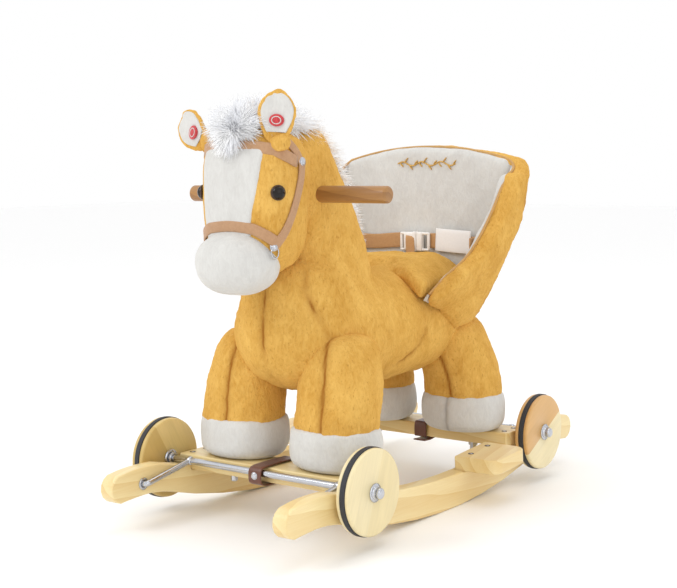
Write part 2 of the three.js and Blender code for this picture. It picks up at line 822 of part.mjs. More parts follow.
// One half of the belt: from the wing's edge along the wing, round the corner and across the back,
// as far as an end at some distance from the middle.
function belt(side, end) {
  const { wide, thick, bottom, start, corner } = BELT;
  const { half, back } = flareAt(bottom);
  const outer = half - beltInset;
  const rear = back - beltInset;
  const path = (inset) => [
    [outer - inset, start],
    ...arc(outer - corner, rear - corner, corner - inset, 0, 90, 5),
    [end, rear - inset],
  ];
  const outline = [...path(0), ...path(thick).reverse()];
  const handed = side > 0 ? outline : outline.map(([u, v]) => [-u, v]).reverse();
  return moved(plate(handed, wide, 'z'), 0, 0, bottom + wide / 2);
}

const beltRear = flareAt(BELT.bottom).back - beltInset;
const buckleY = beltRear - BUCKLE.thick / 2;
const buckleLevel = BELT.bottom + BELT.wide / 2;

function buckleSocket() {
  const { x, long, tall, thick, tongueTall, tongueThick, reach } = BUCKLE;
  const body = plate(roundedBox(x - long, x, -tall / 2, tall / 2, 4), thick, 'y');
  const deep = tongueThick / 2 + PLAY;
  const high = tongueTall / 2 + PLAY;
  const mouth = box(x - reach - 1, x + 1, -deep, deep, -high, high);
  return moved(cut(body, mouth), 0, buckleY, buckleLevel);
}

function bucklePlug() {
  const { x, plug, tall, thick, tongueTall, tongueThick, reach } = BUCKLE;
  const start = x + GAP;
  const body = plate(roundedBox(start, start + plug, -tall / 2, tall / 2, 4), thick, 'y');
  const [deep, high] = [tongueThick / 2, tongueTall / 2];
  const tongue = box(x - reach, start + 5, -deep, deep, -high, high);
  return moved(joined(body, tongue), 0, buckleY, buckleLevel);
}

// ---------------------------------------------------------------- assembly

const horse = new THREE.Group();

function add(name, shape, material, parent = horse) {
  const mesh = new THREE.Mesh(geometryOf(shape), material);
  mesh.name = name;
  parent.add(mesh);
  return mesh;
}

const SIDES = { left: 1, right: -1 };
const ENDS = { front: -1, rear: 1 };

for (const [sideName, side] of Object.entries(SIDES)) {
  add(`runner_${sideName}`, runner(side), PINE);
  const step = add(`footrest_${sideName}`, footrestSolid(side), PINE);
  step.rotation.x = footrestSlope;
  step.position.set(...footrestPlace());
}

for (const [endName, end] of Object.entries(ENDS)) {
  const holes = [-1, 1].map((side) => boltHole(side, end));
  add(`${endName}_crossbar`, cut(crossbar(end), ...holes), PINE);
  add(`${endName}_leg_frame`, cut(legFrame(end), ...holes), BOARD);
  add(`${endName}_bail`, bail(end), STEEL);
  add(`${endName}_strap`, strap(end), LEATHERETTE);
  for (const [sideName, side] of Object.entries(SIDES)) {
    const bolt = add(`leg_bolt_${endName}_${sideName}`, legBolt(), STEEL);
    bolt.position.set(side * POST.across, end * POST.middle, 0);
    const axle = new THREE.Group();
    axle.position.set(side * (wheelInner + WHEEL.thick / 2), end * AXLE_REACH, axleLevel);
    axle.rotation.y = (side * Math.PI) / 2;
    add(`wheel_${endName}_${sideName}`, wheel(), PINE, axle);
    add(`tyre_${endName}_${sideName}`, tyre(), RUBBER, axle);
    const cap = add(`hub_cap_${endName}_${sideName}`, hubCap(), STEEL, axle);
    cap.position.z = WHEEL.thick / 2 + PLAY;
    horse.add(axle);
  }
}

// The frame, and the pockets that it needs in the plush round it.
add('seat_board', seatBoard(), BOARD);
add('neck_post', cut(neckPost(), handleBar(GAP)), BOARD);
add('back_board', backBoard(), BOARD);
add('handle_bar', handleBar(), BEECH);
add('sound_box', soundBox(), BLACK_PLASTIC);
const pockets = [
  legFrame(-1, GAP),
  legFrame(1, GAP),
  seatBoard(GAP),
  neckPost(GAP),
  backBoard(GAP),
  handleBar(GAP),
  soundBox(GAP),
];

const body = cut(joined(barrel(), neck()), head(GAP), ...pockets);
add('body', body, GOLD_PLUSH);
const eyes = [1, -1].map((side) => eyePlaced(side, GAP));
add('head', cut(head(), muzzle(GAP), ...eyes, ...pockets), GOLD_PLUSH);
add('muzzle', muzzle(), WHITE_PLUSH);

const trunk = joined(barrel(GAP), neck(GAP));
const shellSpace = bucket(-GAP).intersect(plate(wingOutline(-GAP), 500, 'x'));
add('seat_shell', cut(seatShell(), trunk, backBoard(GAP)), GOLD_PLUSH);
add('seat_lining', cut(seatLining(), trunk), WHITE_PLUSH);
add('seat_pad', cut(seatPad(), trunk), GOLD_PLUSH);
const ears = [1, -1].map((side) => onHead(earLeaf(GAP), side));
add('mane', cut(stuffed(MANE, { sides: 10, steps: 9 }), trunk, head(GAP), ...ears), FUR);
add('tail', cut(stuffed(TAIL, { sides: 10, steps: 7 }), bucket(-GAP)), FUR);

for (const [sideName, side] of Object.entries(SIDES)) {
  for (const [endName, end] of Object.entries(ENDS)) {
    add(`leg_${endName}_${sideName}`, cut(leg(endName, side), trunk, shellSpace, ...pockets), GOLD_PLUSH);
    add(`hoof_${endName}_${sideName}`, cut(hoof(side, end), legFrame(end, GAP)), WHITE_PLUSH);
  }
  add(`eye_${sideName}`, eyePlaced(side), GLASSY);
}

for (const [sideName, side] of Object.entries(SIDES)) {
  add(`ear_${sideName}`, cut(onHead(ear(), side), head(GAP)), WHITE_PLUSH);
  add(`ear_button_${sideName}`, onHead(earButton(), side), RED_THREAD);
}

add('bridle', cut(bridle(), trunk, muzzle(GAP), ...ears, ...eyes), TAPE);
add('belt_left', belt(1, BUCKLE.x + 2 * GAP + BUCKLE.plug), WEBBING);
add('belt_right', belt(-1, BUCKLE.long - BUCKLE.x + GAP), WEBBING);
add('buckle_socket', buckleSocket(), WHITE_PLASTIC);
add('buckle_plug', bucklePlug(), WHITE_PLASTIC);

export default horse;
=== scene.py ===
# %% [markdown]
# # A plush rocking horse, made in cells
# The wooden rocker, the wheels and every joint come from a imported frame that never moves.
# Each cell below dresses one piece of it. All shapes are worked out in millimetres with
# numpy, as whole arrays, and go into Blender in metres. The horse looks along -Y, its left
# side is +X, and Z is up.

# %% Load the frame
import math

import bmesh
import bpy
import numpy as np
from mathutils import Matrix, Vector


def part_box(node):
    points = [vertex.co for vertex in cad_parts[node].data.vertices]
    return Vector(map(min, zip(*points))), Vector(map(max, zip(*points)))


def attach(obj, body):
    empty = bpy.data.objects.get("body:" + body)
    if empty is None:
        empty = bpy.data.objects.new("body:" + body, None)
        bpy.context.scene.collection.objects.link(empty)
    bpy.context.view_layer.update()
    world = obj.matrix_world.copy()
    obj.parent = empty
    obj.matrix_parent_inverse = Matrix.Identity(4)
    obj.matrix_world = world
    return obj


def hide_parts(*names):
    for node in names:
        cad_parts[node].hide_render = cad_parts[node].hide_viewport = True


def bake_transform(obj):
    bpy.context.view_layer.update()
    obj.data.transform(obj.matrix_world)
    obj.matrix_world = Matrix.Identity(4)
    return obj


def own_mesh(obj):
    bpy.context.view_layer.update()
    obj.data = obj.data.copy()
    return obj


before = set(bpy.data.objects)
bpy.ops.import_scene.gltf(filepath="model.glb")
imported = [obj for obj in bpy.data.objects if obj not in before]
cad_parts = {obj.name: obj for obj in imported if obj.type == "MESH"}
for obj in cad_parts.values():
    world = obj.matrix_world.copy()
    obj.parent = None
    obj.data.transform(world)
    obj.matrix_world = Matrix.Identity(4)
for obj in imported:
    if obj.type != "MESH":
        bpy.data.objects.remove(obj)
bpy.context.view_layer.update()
MM = 0.001
scene = bpy.context.scene

# %% [markdown]
# ## The camera
# A long lens from a little above knee height keeps the horse's proportions. The lens is worked
# out from the picture's width, and the camera is placed by turning round a target point.

# %% Camera
PICTURE_WIDTH, SENSOR = 677, 36.0
FOCAL = 1326.5  # in picture widths' units
AZIMUTH, ELEVATION, ROLL = (math.radians(a) for a in (37.05, 5.853, -0.728))
TARGET = Vector((-29.3, 0, 255.35)) * MM
DISTANCE = 1693.4 * MM

right = Vector((math.cos(AZIMUTH), math.sin(AZIMUTH), 0))
ahead = Vector((
    -math.sin(AZIMUTH) * math.cos(ELEVATION),
    math.cos(AZIMUTH) * math.cos(ELEVATION),
    -math.sin(ELEVATION),
))
above = right.cross(ahead)
rolled_right = right * math.cos(ROLL) + above * math.sin(ROLL)
rolled_up = above * math.cos(ROLL) - right * math.sin(ROLL)
eye_point = TARGET - ahead * DISTANCE
camera = bpy.data.objects.new("camera", bpy.data.cameras.new("camera"))
scene.collection.objects.link(camera)
camera.data.sensor_width = SENSOR
camera.data.lens = FOCAL / PICTURE_WIDTH * SENSOR
camera.matrix_world = Matrix((
    (rolled_right.x, rolled_up.x, -ahead.x, eye_point.x),
    (rolled_right.y, rolled_up.y, -ahead.y, eye_point.y),
    (rolled_right.z, rolled_up.z, -ahead.z, eye_point.z),
    (0, 0, 0, 1),
))
scene.camera = camera
print("camera at", [round(v, 3) for v in eye_point], "lens", round(camera.data.lens, 1))

# %% [markdown]
# ## Light and floor
# A bright white studio: an even white surround, one big soft light from the front left that
# shapes the plush, a weaker one from the right, and a pale floor that catches soft shadows.

# %% Studio
scene.view_settings.view_transform = "Standard"
world = bpy.data.worlds.new("studio")
scene.world = world
world.use_nodes = True
surround = world.node_tree.nodes["Background"]
surround.inputs["Color"].default_value = (1, 1, 1, 1)
surround.inputs["Strength"].default_value = 1.0


def soft_light(name, place, aim, size, watts):
    """A square area light at a place, turned towards an aim, both in metres."""
    lamp = bpy.data.lights.new(name, "AREA")
    lamp.energy, lamp.size = watts, size
    holder = bpy.data.objects.new(name, lamp)
    scene.collection.objects.link(holder)
    holder.location = place
    holder.rotation_euler = (Vector(aim) - Vector(place)).to_track_quat("-Z", "Y").to_euler()
    return holder


MIDDLE = (0, 0, 0.25)
soft_light("key", (-1.1, -1.9, 2.0), MIDDLE, 1.0, 17)
soft_light("fill", (2.2, -0.9, 1.1), MIDDLE, 1.6, 5)
soft_light("top", (0.2, 0.4, 2.4), MIDDLE, 1.4, 7)
print("three soft lights")

# %% [markdown]
# ## Small tools for surfaces
# A surface is a grid of points: rows run along the piece and columns run round it. The same
# few functions turn any such grid into a mesh, closed at both ends, with a UV map in
# millimetres so that weaves and ribs keep their real size.

# %% Grid and mesh tools
def unit(vectors):
    """Each vector divided by its own length."""
    return vectors / np.maximum(np.linalg.norm(vectors, axis=-1, keepdims=True), 1e-9)


def through(stations, t):
    """Points on a Catmull-Rom curve through rows of numbers, t from 0 to 1. Between rows p1 and
    p2, at u: half of 2 p1 + (p2 - p0) u + (2 p0 - 5 p1 + 4 p2 - p3) u2 + (3 p1 - p0 - 3 p2 + p3) u3."""
    rows = np.asarray(stations, float)
    line = np.vstack([2 * rows[0] - rows[1], rows, 2 * rows[-1] - rows[-2]])
    at = np.clip(t, 0, 1) * (len(rows) - 1)
    i = np.minimum(at.astype(int), len(rows) - 2)
    u = (at - i)[:, None]
    a, b, c, d = line[i], line[i + 1], line[i + 2], line[i + 3]
    bend = (2 * a - 5 * b + 4 * c - d) * u**2 + (3 * b - a - 3 * c + d) * u**3
    return 0.5 * (2 * b + (c - a) * u + bend)


def mesh_object(name, points, faces, uv=None):
    """A mesh object at the origin from points in millimetres and a list of faces."""
    mesh = bpy.data.meshes.new(name)
    mesh.from_pydata((np.asarray(points) * MM).tolist(), [], faces)
    if uv is not None:
        layer = mesh.uv_layers.new(name="surface")
        loops = np.zeros(len(mesh.loops), int)
        mesh.loops.foreach_get("vertex_index", loops)
        layer.data.foreach_set("uv", (uv[loops] * MM).ravel())
    mesh.shade_smooth()
    piece = bpy.data.objects.new(name, mesh)
    scene.collection.objects.link(piece)
    return piece


def skin(name, grid, caps=True, round_rows=False):
    """A grid (rows, columns, 3), closed round its columns. With caps, the middle of the first
    and of the last row closes the ends; with round_rows, the last row meets the first."""
    rows, columns = grid.shape[:2]
    index = np.arange(rows * columns).reshape(rows, columns)
    if round_rows:
        index = np.vstack([index, index[:1]])
    side = np.roll(index, -1, axis=1)
    quads = np.stack([index[:-1], side[:-1], side[1:], index[1:]], axis=-1).reshape(-1, 4)
    faces = quads.tolist()
    points = grid.reshape(-1, 3)
    along = np.cumsum(np.r_[0, np.linalg.norm(np.diff(grid.mean(1), axis=0), axis=1)])
    step = np.linalg.norm(np.roll(grid, -1, axis=1) - grid, axis=2)
    across = np.cumsum(step, axis=1) - step
    uv = np.stack([np.repeat(along[:, None], columns, 1), across], axis=-1).reshape(-1, 2)
    if caps and not round_rows:
        ends = grid[[0, -1]].mean(1)
        points = np.vstack([points, ends])
        uv = np.vstack([uv, [[0, 0], [along[-1], 0]]])
        first, last = rows * columns, rows * columns + 1
        faces += np.stack([side[0], index[0], np.full(columns, first)], -1).tolist()
        faces += np.stack([index[-1], side[-1], np.full(columns, last)], -1).tolist()
    piece = mesh_object(name, points, faces, uv)
    outward(piece)
    return piece


def outward(piece, merge=0.01):
    """Points closer than a hundredth of a millimetre become one, and faces point outwards."""
    work = bmesh.new()
    work.from_mesh(piece.data)
    bmesh.ops.remove_doubles(work, verts=work.verts, dist=merge * MM)
    bmesh.ops.recalc_face_normals(work, faces=work.faces)
    work.to_mesh(piece.data)
    work.free()


def joined(name, pieces):
    """Several pieces' meshes put together in one object. Materials stay with their faces."""
    work = bmesh.new()
    finishes = []
    for piece in pieces:
        start = len(work.faces)
        work.from_mesh(piece.data)
        work.faces.ensure_lookup_table()
        used = piece.data.materials[0] if piece.data.materials else None
        if used not in finishes:
            finishes.append(used)
        for face in work.faces[start:]:
            face.material_index = finishes.index(used)
    mesh = bpy.data.meshes.new(name)
    work.to_mesh(mesh)
    work.free()
    for used in finishes:
        if used is not None:
            mesh.materials.append(used)
    whole = bpy.data.objects.new(name, mesh)
    scene.collection.objects.link(whole)
    for piece in pieces:
        bpy.data.objects.remove(piece)
    return whole


def points_of(piece):
    """A mesh's points, in millimetres."""
    flat = np.zeros(len(piece.data.vertices) * 3)
    piece.data.vertices.foreach_get("co", flat)
    return flat.reshape(-1, 3) / MM


def normals_of(piece):
    """The direction in which each point of a mesh faces."""
    flat = np.zeros(len(piece.data.vertices) * 3)
    piece.data.vertices.foreach_get("normal", flat)
    return flat.reshape(-1, 3)


def move_points(piece, points):
    """Puts points in millimetres back into a mesh."""
    piece.data.vertices.foreach_set("co", (points * MM).ravel())
    piece.data.update()


def baked(piece):
    """Replaces a piece's mesh by what its modifiers make of it."""
    graph = bpy.context.evaluated_depsgraph_get()
    mesh = bpy.data.meshes.new_from_object(piece.evaluated_get(graph))
    piece.modifiers.clear()
    piece.data = mesh
    mesh.shade_smooth()
    return piece


def finer(piece, levels=1):
    """One or more rounds of subdivision, worked into the mesh."""
    if levels:
        smooth = piece.modifiers.new("finer", "SUBSURF")
        smooth.levels = smooth.render_levels = levels
        baked(piece)
    return piece


print("surface tools ready")

# %% [markdown]
# ## Shapes that soft and turned pieces share
# A stuffed limb is a row of rounded sections across a bent line. A turned piece is a profile
# spun round a line. A strap or tube is a small closed profile carried along a path.

# %% Shape functions
def superellipse(angle, power):
    """Cosine and sine of an angle, each raised to 2/power with its sign kept: power 2 gives a
    circle and more gives a squarer form."""
    c, s = np.cos(angle), np.sin(angle)
    return np.sign(c) * np.abs(c) ** (2 / power), np.sign(s) * np.abs(s) ** (2 / power)


def stuffed(stations, power, sides=72, steps=64):
    """A grid of sections: centre + half width * cos* along X + half depth * sin* along the
    direction that is square to X and to the line, with cos* and sin* from superellipse."""
    rows = through(stations, np.linspace(0, 1, steps))
    centre, half = rows[:, :3], np.maximum(rows[:, 3:], 0.5)
    tangent = unit(np.gradient(centre, axis=0))
    depth = unit(np.cross(tangent, [1.0, 0, 0]))
    c, s = superellipse((np.arange(sides) + 0.5) / sides * 2 * np.pi, power)
    grid = centre[:, None] + half[:, 1, None, None] * s[None, :, None] * depth[:, None]
    grid[..., 0] += half[:, 0, None] * c
    return grid


def turned(profile, centre, axis, sides=64):
    """A profile of (radius, height) rows spun round an axis through a centre: point =
    centre + height * axis + radius * (cos * u + sin * v), with u and v square to the axis."""
    profile = np.asarray(profile, float)
    axis = unit(np.asarray(axis, float))
    helper = [0, 0, 1.0] if abs(axis[2]) < 0.9 else [1.0, 0, 0]
    u = unit(np.cross(helper, axis))
    v = np.cross(axis, u)
    angle = np.arange(sides) / sides * 2 * np.pi
    ring = np.cos(angle)[:, None] * u + np.sin(angle)[:, None] * v
    return np.asarray(centre, float) + profile[:, 1, None, None] * axis + profile[:, 0, None, None] * ring


def carried(path, outline, up):
    """A closed outline of (side, lift) rows carried along a path: point = path + side * S +
    lift * N, where S = T x up, N = S x T and T is the path's direction."""
    path = np.asarray(path, float)
    tangent = unit(np.gradient(path, axis=0))
    side = unit(np.cross(tangent, np.broadcast_to(up, path.shape)))
    lift = np.cross(side, tangent)
    outline = np.asarray(outline, float)
    if outline.ndim == 2:
        outline = np.broadcast_to(outline, (len(path),) + outline.shape)
    return path[:, None] + outline[..., :1] * side[:, None] + outline[..., 1:] * lift[:, None]


def flat_section(wide, thick, steps=3):
    """A strap's section: a thin rectangle with half-round edges."""
    r = thick / 2
    turn = np.linspace(-np.pi / 2, np.pi / 2, steps + 2)
    edge = np.stack([wide / 2 - r + r * np.cos(turn), r * np.sin(turn)], -1)
    inner = np.linspace(wide / 2 - r, -wide / 2 + r, 6)[1:-1]
    top = np.stack([inner, np.full(4, r)], -1)
    return np.vstack([edge, top, -edge, -top])


def round_section(radius, sides=24):
    """A circle of points."""
    angle = np.arange(sides) / sides * 2 * np.pi
    return np.stack([radius * np.cos(angle), radius * np.sin(angle)], -1)


def ripple(points, wavelength, seed, waves=28):
    """Smooth noise: the sum of plane waves cos(k.p + phase) of one wavelength in seeded random
    directions, divided by the square root of their number, so that it stays mostly within 1."""
    draw = np.random.default_rng(seed)
    direction = unit(draw.normal(size=(waves, 3))) * 2 * np.pi / wavelength
    phase = draw.uniform(0, 2 * np.pi, waves)
    return np.cos(points @ direction.T + phase).sum(1) / math.sqrt(waves)


def distance_to(points, path):
    """How far each point is from a path of straight pieces: the least distance to
    a + clamp((p - a).(b - a) / |b - a|^2) * (b - a) over all its pieces."""
    path = np.asarray(path, float)
    start, run = path[:-1], np.diff(path, axis=0)
    away = points[:, None] - start
    share = np.clip((away * run).sum(-1) / (run * run).sum(-1), 0, 1)
    return np.linalg.norm(away - share[..., None] * run, axis=-1).min(1)


print("shape functions ready")

# %% [markdown]
# ## Finishes
# Every finish is a small net of nodes on the Principled shader. Numbers that are the same all
# over are set on the shader itself. Patterns read the piece's own coordinates, so that they
# stay in the material when the piece moves with its body.

# %% Node helpers
def new_finish(name, **sockets):
    """A material with its node tree and shader; sockets are constants of the shader."""
    material = bpy.data.materials.new(name)
    material.use_nodes = True
    tree = material.node_tree
    shader = tree.nodes["Principled BSDF"]
    for socket, value in sockets.items():
        shader.inputs[socket.replace("_", " ")].default_value = value
    return material, tree, shader


def node(tree, kind, inputs=None, **settings):
    """A node with its settings; each input is a constant or another node's socket."""
    made = tree.nodes.new(kind)
    for key, value in settings.items():
        setattr(made, key, value)
    for key, value in (inputs or {}).items():
        if isinstance(value, bpy.types.NodeSocket):
            tree.links.new(value, made.inputs[key])
        else:
            made.inputs[key].default_value = value
    return made


def place(tree, stretch=(1, 1, 1), source="Object"):
    """The piece's own coordinates, stretched."""
    coords = node(tree, "ShaderNodeTexCoord")
    mapping = node(tree, "ShaderNodeMapping", {"Vector": coords.outputs[source], "Scale": stretch})
    return mapping.outputs["Vector"]


def noise(tree, vector, scale, detail=3.0, rough=0.55, distort=0.0):
    """A noise pattern from 0 to 1."""
    inputs = {"Vector": vector, "Scale": scale, "Detail": detail, "Roughness": rough, "Distortion": distort}
    return node(tree, "ShaderNodeTexNoise", inputs).outputs["Fac"]


def spread(tree, value, low, high, to_low=0.0, to_high=1.0):
    """A value between low and high, spread over a new range and held at its ends."""
    inputs = {"Value": value, "From Min": low, "From Max": high, "To Min": to_low, "To Max": to_high}
    return node(tree, "ShaderNodeMapRange", inputs).outputs["Result"]


def mixed(tree, share, first, second, blend="MIX"):
    """Two colours mixed by a share."""
    mix = node(tree, "ShaderNodeMix", {0: share}, data_type="RGBA", blend_type=blend)
    for key, value in ((6, first), (7, second)):
        if isinstance(value, bpy.types.NodeSocket):
            tree.links.new(value, mix.inputs[key])
        else:
            mix.inputs[key].default_value = (*value, 1)
    return mix.outputs[2]


def math_node(tree, operation, first, second=0.0):
    """One sum on two values."""
    return node(tree, "ShaderNodeMath", {0: first, 1: second}, operation=operation).outputs[0]


def bump(tree, shader, height, distance, strength=1.0, under=None):
    """Relief from a height pattern, its distance in metres."""
    inputs = {"Height": height, "Distance": distance, "Strength": strength}
    if under is not None:
        inputs["Normal"] = under
    made = node(tree, "ShaderNodeBump", inputs)
    tree.links.new(made.outputs["Normal"], shader.inputs["Normal"])
    return made.outputs["Normal"]


def attribute(tree, name):
    """A number that the mesh holds at each point."""
    return node(tree, "ShaderNodeAttribute", attribute_name=name).outputs["Fac"]


def srgb(r, g, b):
    """A colour as seen on a screen, 0 to 255, turned into the linear numbers that shaders use."""
    c = np.array([r, g, b]) / 255
    return tuple(np.where(c < 0.04045, c / 12.92, ((c + 0.055) / 1.055) ** 2.4).tolist())


print("node helpers ready")

# %% [markdown]
# ## Plush
# Plush is a knit with a brushed pile a few millimetres deep. The pile lies one way, so it shows fine streaks
# down the piece and broad patches where a hand has stroked it. Darker specks are painted shade where the tufts
# part, and the darker colour along seams and creases is painted shade where the pile folds into them.

# %% Plush finishes
def plush(name, light, dark, deep, relief, parting_shade=0.5):
    """Streaks and stroked patches in colour and in relief, specks of painted shade in the pile's partings,
    painted shade along seams and creases, and sheen on the edges.
    """
    material, tree, shader = new_finish(name, Roughness=0.92, Sheen_Weight=0.45, Sheen_Roughness=0.45)
    shader.inputs["Sheen Tint"].default_value = (*[min(1, c * 1.25) for c in light], 1)
    shader.inputs["Specular IOR Level"].default_value = 0.15
    hairs = noise(tree, place(tree, (1, 1, 0.3)), 620, 2.0, 0.6, 0.6)
    tufts = noise(tree, place(tree, (1, 1, 0.45)), 170, 3.0, 0.6, 1.2)
    strokes = noise(tree, place(tree, (1, 1, 0.7)), 24, 2.0, 0.5, 0.8)
    half_tufts = math_node(tree, "MULTIPLY", tufts, 0.5)
    tone = math_node(tree, "ADD", half_tufts, math_node(tree, "MULTIPLY", strokes, 0.5))
    tone = math_node(tree, "ADD", tone, math_node(tree, "MULTIPLY", hairs, 0.25))
    base = mixed(tree, spread(tree, tone, 0.44, 0.78), dark, light)
    # painted shade: dark specks where the tufts part
    parting_shade_mask = spread(tree, noise(tree, place(tree, (1, 1, 0.5)), 420, 2.0, 0.7), 0.27, 0.4, parting_shade, 0.0)
    base = mixed(tree, parting_shade_mask, base, deep)
    # painted shade along seams and creases, from each point's seam number
    base = mixed(tree, attribute(tree, "seam"), base, deep)
    tree.links.new(base, shader.inputs["Base Color"])
    pile = math_node(tree, "ADD", math_node(tree, "MULTIPLY", hairs, 0.6), tufts)
    bump(tree, shader, pile, relief, 0.85)
    return material


# The third colour of each plush is its painted shade, used for tuft partings, seams and creases.
GOLD = plush("golden_plush", srgb(228, 182, 96), srgb(200, 148, 64), srgb(150, 92, 26), 0.0016)
WHITE = plush("white_plush", srgb(214, 213, 209), srgb(200, 198, 194), srgb(168, 164, 159), 0.0007, 0.12)


def fur():
    """Long white pile: each strand lets light through."""
    material, tree, shader = new_finish("fur", Roughness=0.75, Sheen_Weight=0.3)
    shader.inputs["Specular IOR Level"].default_value = 0.3
    shader.inputs["Subsurface Weight"].default_value = 0.5
    # A faint white emission is a painted glow that lightens the shaded strands.
    shader.inputs["Emission Color"].default_value = (1, 1, 1, 1)
    shader.inputs["Emission Strength"].default_value = 0.03
    shader.inputs["Subsurface Radius"].default_value = (0.01, 0.01, 0.01)
    clumps = noise(tree, place(tree), 60, 2.0)
    base = mixed(tree, spread(tree, clumps, 0.35, 0.65), srgb(244, 245, 249), srgb(255, 255, 255))
    tree.links.new(base, shader.inputs["Base Color"])
    return material


FUR = fur()
print("plush and fur made")

# %% [markdown]
# ## Wood
# The rocker is lacquered pine with straight grain: broad early rings, thin darker late rings
# and fine fibres, all drawn out along the board. The handle is a darker hardwood.

# %% Wood finishes
def wood(name, light, dark, along, ring=55.0, gloss=0.38):
    """Rings are a wave across the board, bent by slow noise; fibres are noise drawn out along it."""
    material, tree, shader = new_finish(name, Roughness=gloss, Coat_Weight=0.25, Coat_Roughness=0.25)
    drawn = tuple(0.12 if axis == along else 1.0 for axis in "xyz")
    fine = tuple(0.03 if axis == along else 1.0 for axis in "xyz")
    bent = noise(tree, place(tree, drawn), 22, 3.0, 0.5, 0.8)
    rings = node(tree, "ShaderNodeTexWave", {
        "Vector": place(tree, drawn), "Scale": ring / 2, "Distortion": 7.0, "Detail": 2.0, "Detail Scale": 0.7,
    }, wave_type="BANDS", bands_direction="DIAGONAL", wave_profile="SAW").outputs["Fac"]
    fibres = noise(tree, place(tree, fine), 900, 2.0, 0.6)
    weak_rings = math_node(tree, "MULTIPLY", rings, 0.22)
    tone = math_node(tree, "ADD", math_node(tree, "MULTIPLY", bent, 0.6), weak_rings)
    tone = math_node(tree, "ADD", tone, math_node(tree, "MULTIPLY", fibres, 0.22))
    base = mixed(tree, spread(tree, tone, 0.32, 0.8), light, dark)
    tree.links.new(base, shader.inputs["Base Color"])
    bump(tree, shader, fibres, 0.0002, 0.35)
    return material


PINE_LIGHT, PINE_DARK = srgb(243, 224, 170), srgb(221, 186, 118)
PINE_Y = wood("pine_along_y", PINE_LIGHT, PINE_DARK, "y")
PINE_X = wood("pine_along_x", PINE_LIGHT, PINE_DARK, "x")
BEECH = wood("beech", srgb(176, 128, 70), srgb(132, 88, 42), "x", 90.0, 0.45)


def board():
    """The hidden frame's plywood."""
    material, tree, shader = new_finish("board", Roughness=0.7)
    grain = noise(tree, place(tree, (0.1, 1, 1)), 90, 4.0)
    tree.links.new(mixed(tree, grain, srgb(214, 178, 124), srgb(176, 136, 84)), shader.inputs["Base Color"])
    return material


BOARD = board()
print("wood finishes made")

# %% [markdown]
# ## Metal, rubber, leatherette, webbing and plastics
# Steel is brushed along its length. Rubber is nearly black and dull. Leatherette is a coated
# cloth with a fine pebble grain. Webbing and tape have ribs that follow their own UV map.

# %% Other finishes
def steel():
    """Bright zinc-plated steel with faint scratches."""
    material, tree, shader = new_finish("steel", Metallic=1.0, Roughness=0.2)
    scratches = noise(tree, place(tree, (0.08, 1, 1)), 700, 3.0)
    base = mixed(tree, scratches, srgb(214, 216, 222), srgb(176, 179, 186))
    tree.links.new(base, shader.inputs["Base Color"])
    bump(tree, shader, scratches, 0.0001, 0.3)
    return material


def rubber():
    """Dull dark rubber with a fine moulded grain."""
    material, tree, shader = new_finish("rubber", Roughness=0.72)
    grain = noise(tree, place(tree), 900, 2.0)
    tree.links.new(mixed(tree, grain, srgb(40, 41, 46), srgb(62, 63, 68)), shader.inputs["Base Color"])
    bump(tree, shader, grain, 0.0002, 0.5)
    return material


def leatherette():
    """Brown coated cloth: a pebble grain of small cells under a soft gloss."""
    material, tree, shader = new_finish("leatherette", Roughness=0.36, Coat_Weight=0.3, Coat_Roughness=0.3)
    cells = node(tree, "ShaderNodeTexVoronoi", {"Vector": place(tree), "Scale": 900.0}).outputs["Distance"]
    tone = noise(tree, place(tree), 60, 3.0)
    tree.links.new(mixed(tree, tone, srgb(72, 38, 26), srgb(118, 66, 44)), shader.inputs["Base Color"])
    bump(tree, shader, cells, 0.0003, 0.6)
    return material


def webbing(name, light, dark, pitch, gloss):
    """Ribs across the strap and threads along it, from its own UV map in metres."""
    material, tree, shader = new_finish(name, Roughness=gloss, Sheen_Weight=0.2)
    uv = place(tree, source="UV")
    rate = 0.314 / pitch
    across = node(tree, "ShaderNodeTexWave", {"Vector": uv, "Scale": rate}, bands_direction="X")
    along = node(tree, "ShaderNodeTexWave", {"Vector": uv, "Scale": rate * 1.6}, bands_direction="Y")
    ribs, threads = across.outputs["Fac"], along.outputs["Fac"]
    weave = math_node(tree, "MULTIPLY", ribs, threads)
    fuzz = noise(tree, place(tree), 240, 3.0)
    half_weave = math_node(tree, "MULTIPLY", weave, 0.5)
    tone = math_node(tree, "ADD", half_weave, math_node(tree, "MULTIPLY", fuzz, 0.6))
    tree.links.new(mixed(tree, spread(tree, tone, 0.2, 0.9), dark, light), shader.inputs["Base Color"])
    bump(tree, shader, weave, 0.0004, 0.6)
    return material


def plastic(name, light, dark, gloss, coat=0.0):
    """Moulded plastic with a barely visible grain."""
    material, tree, shader = new_finish(name, Roughness=gloss, Coat_Weight=coat, Coat_Roughness=0.05)
    grain = noise(tree, place(tree), 350, 3.0)
    tree.links.new(mixed(tree, grain, light, dark), shader.inputs["Base Color"])
    bump(tree, shader, grain, 0.0001, 0.3)
    return material


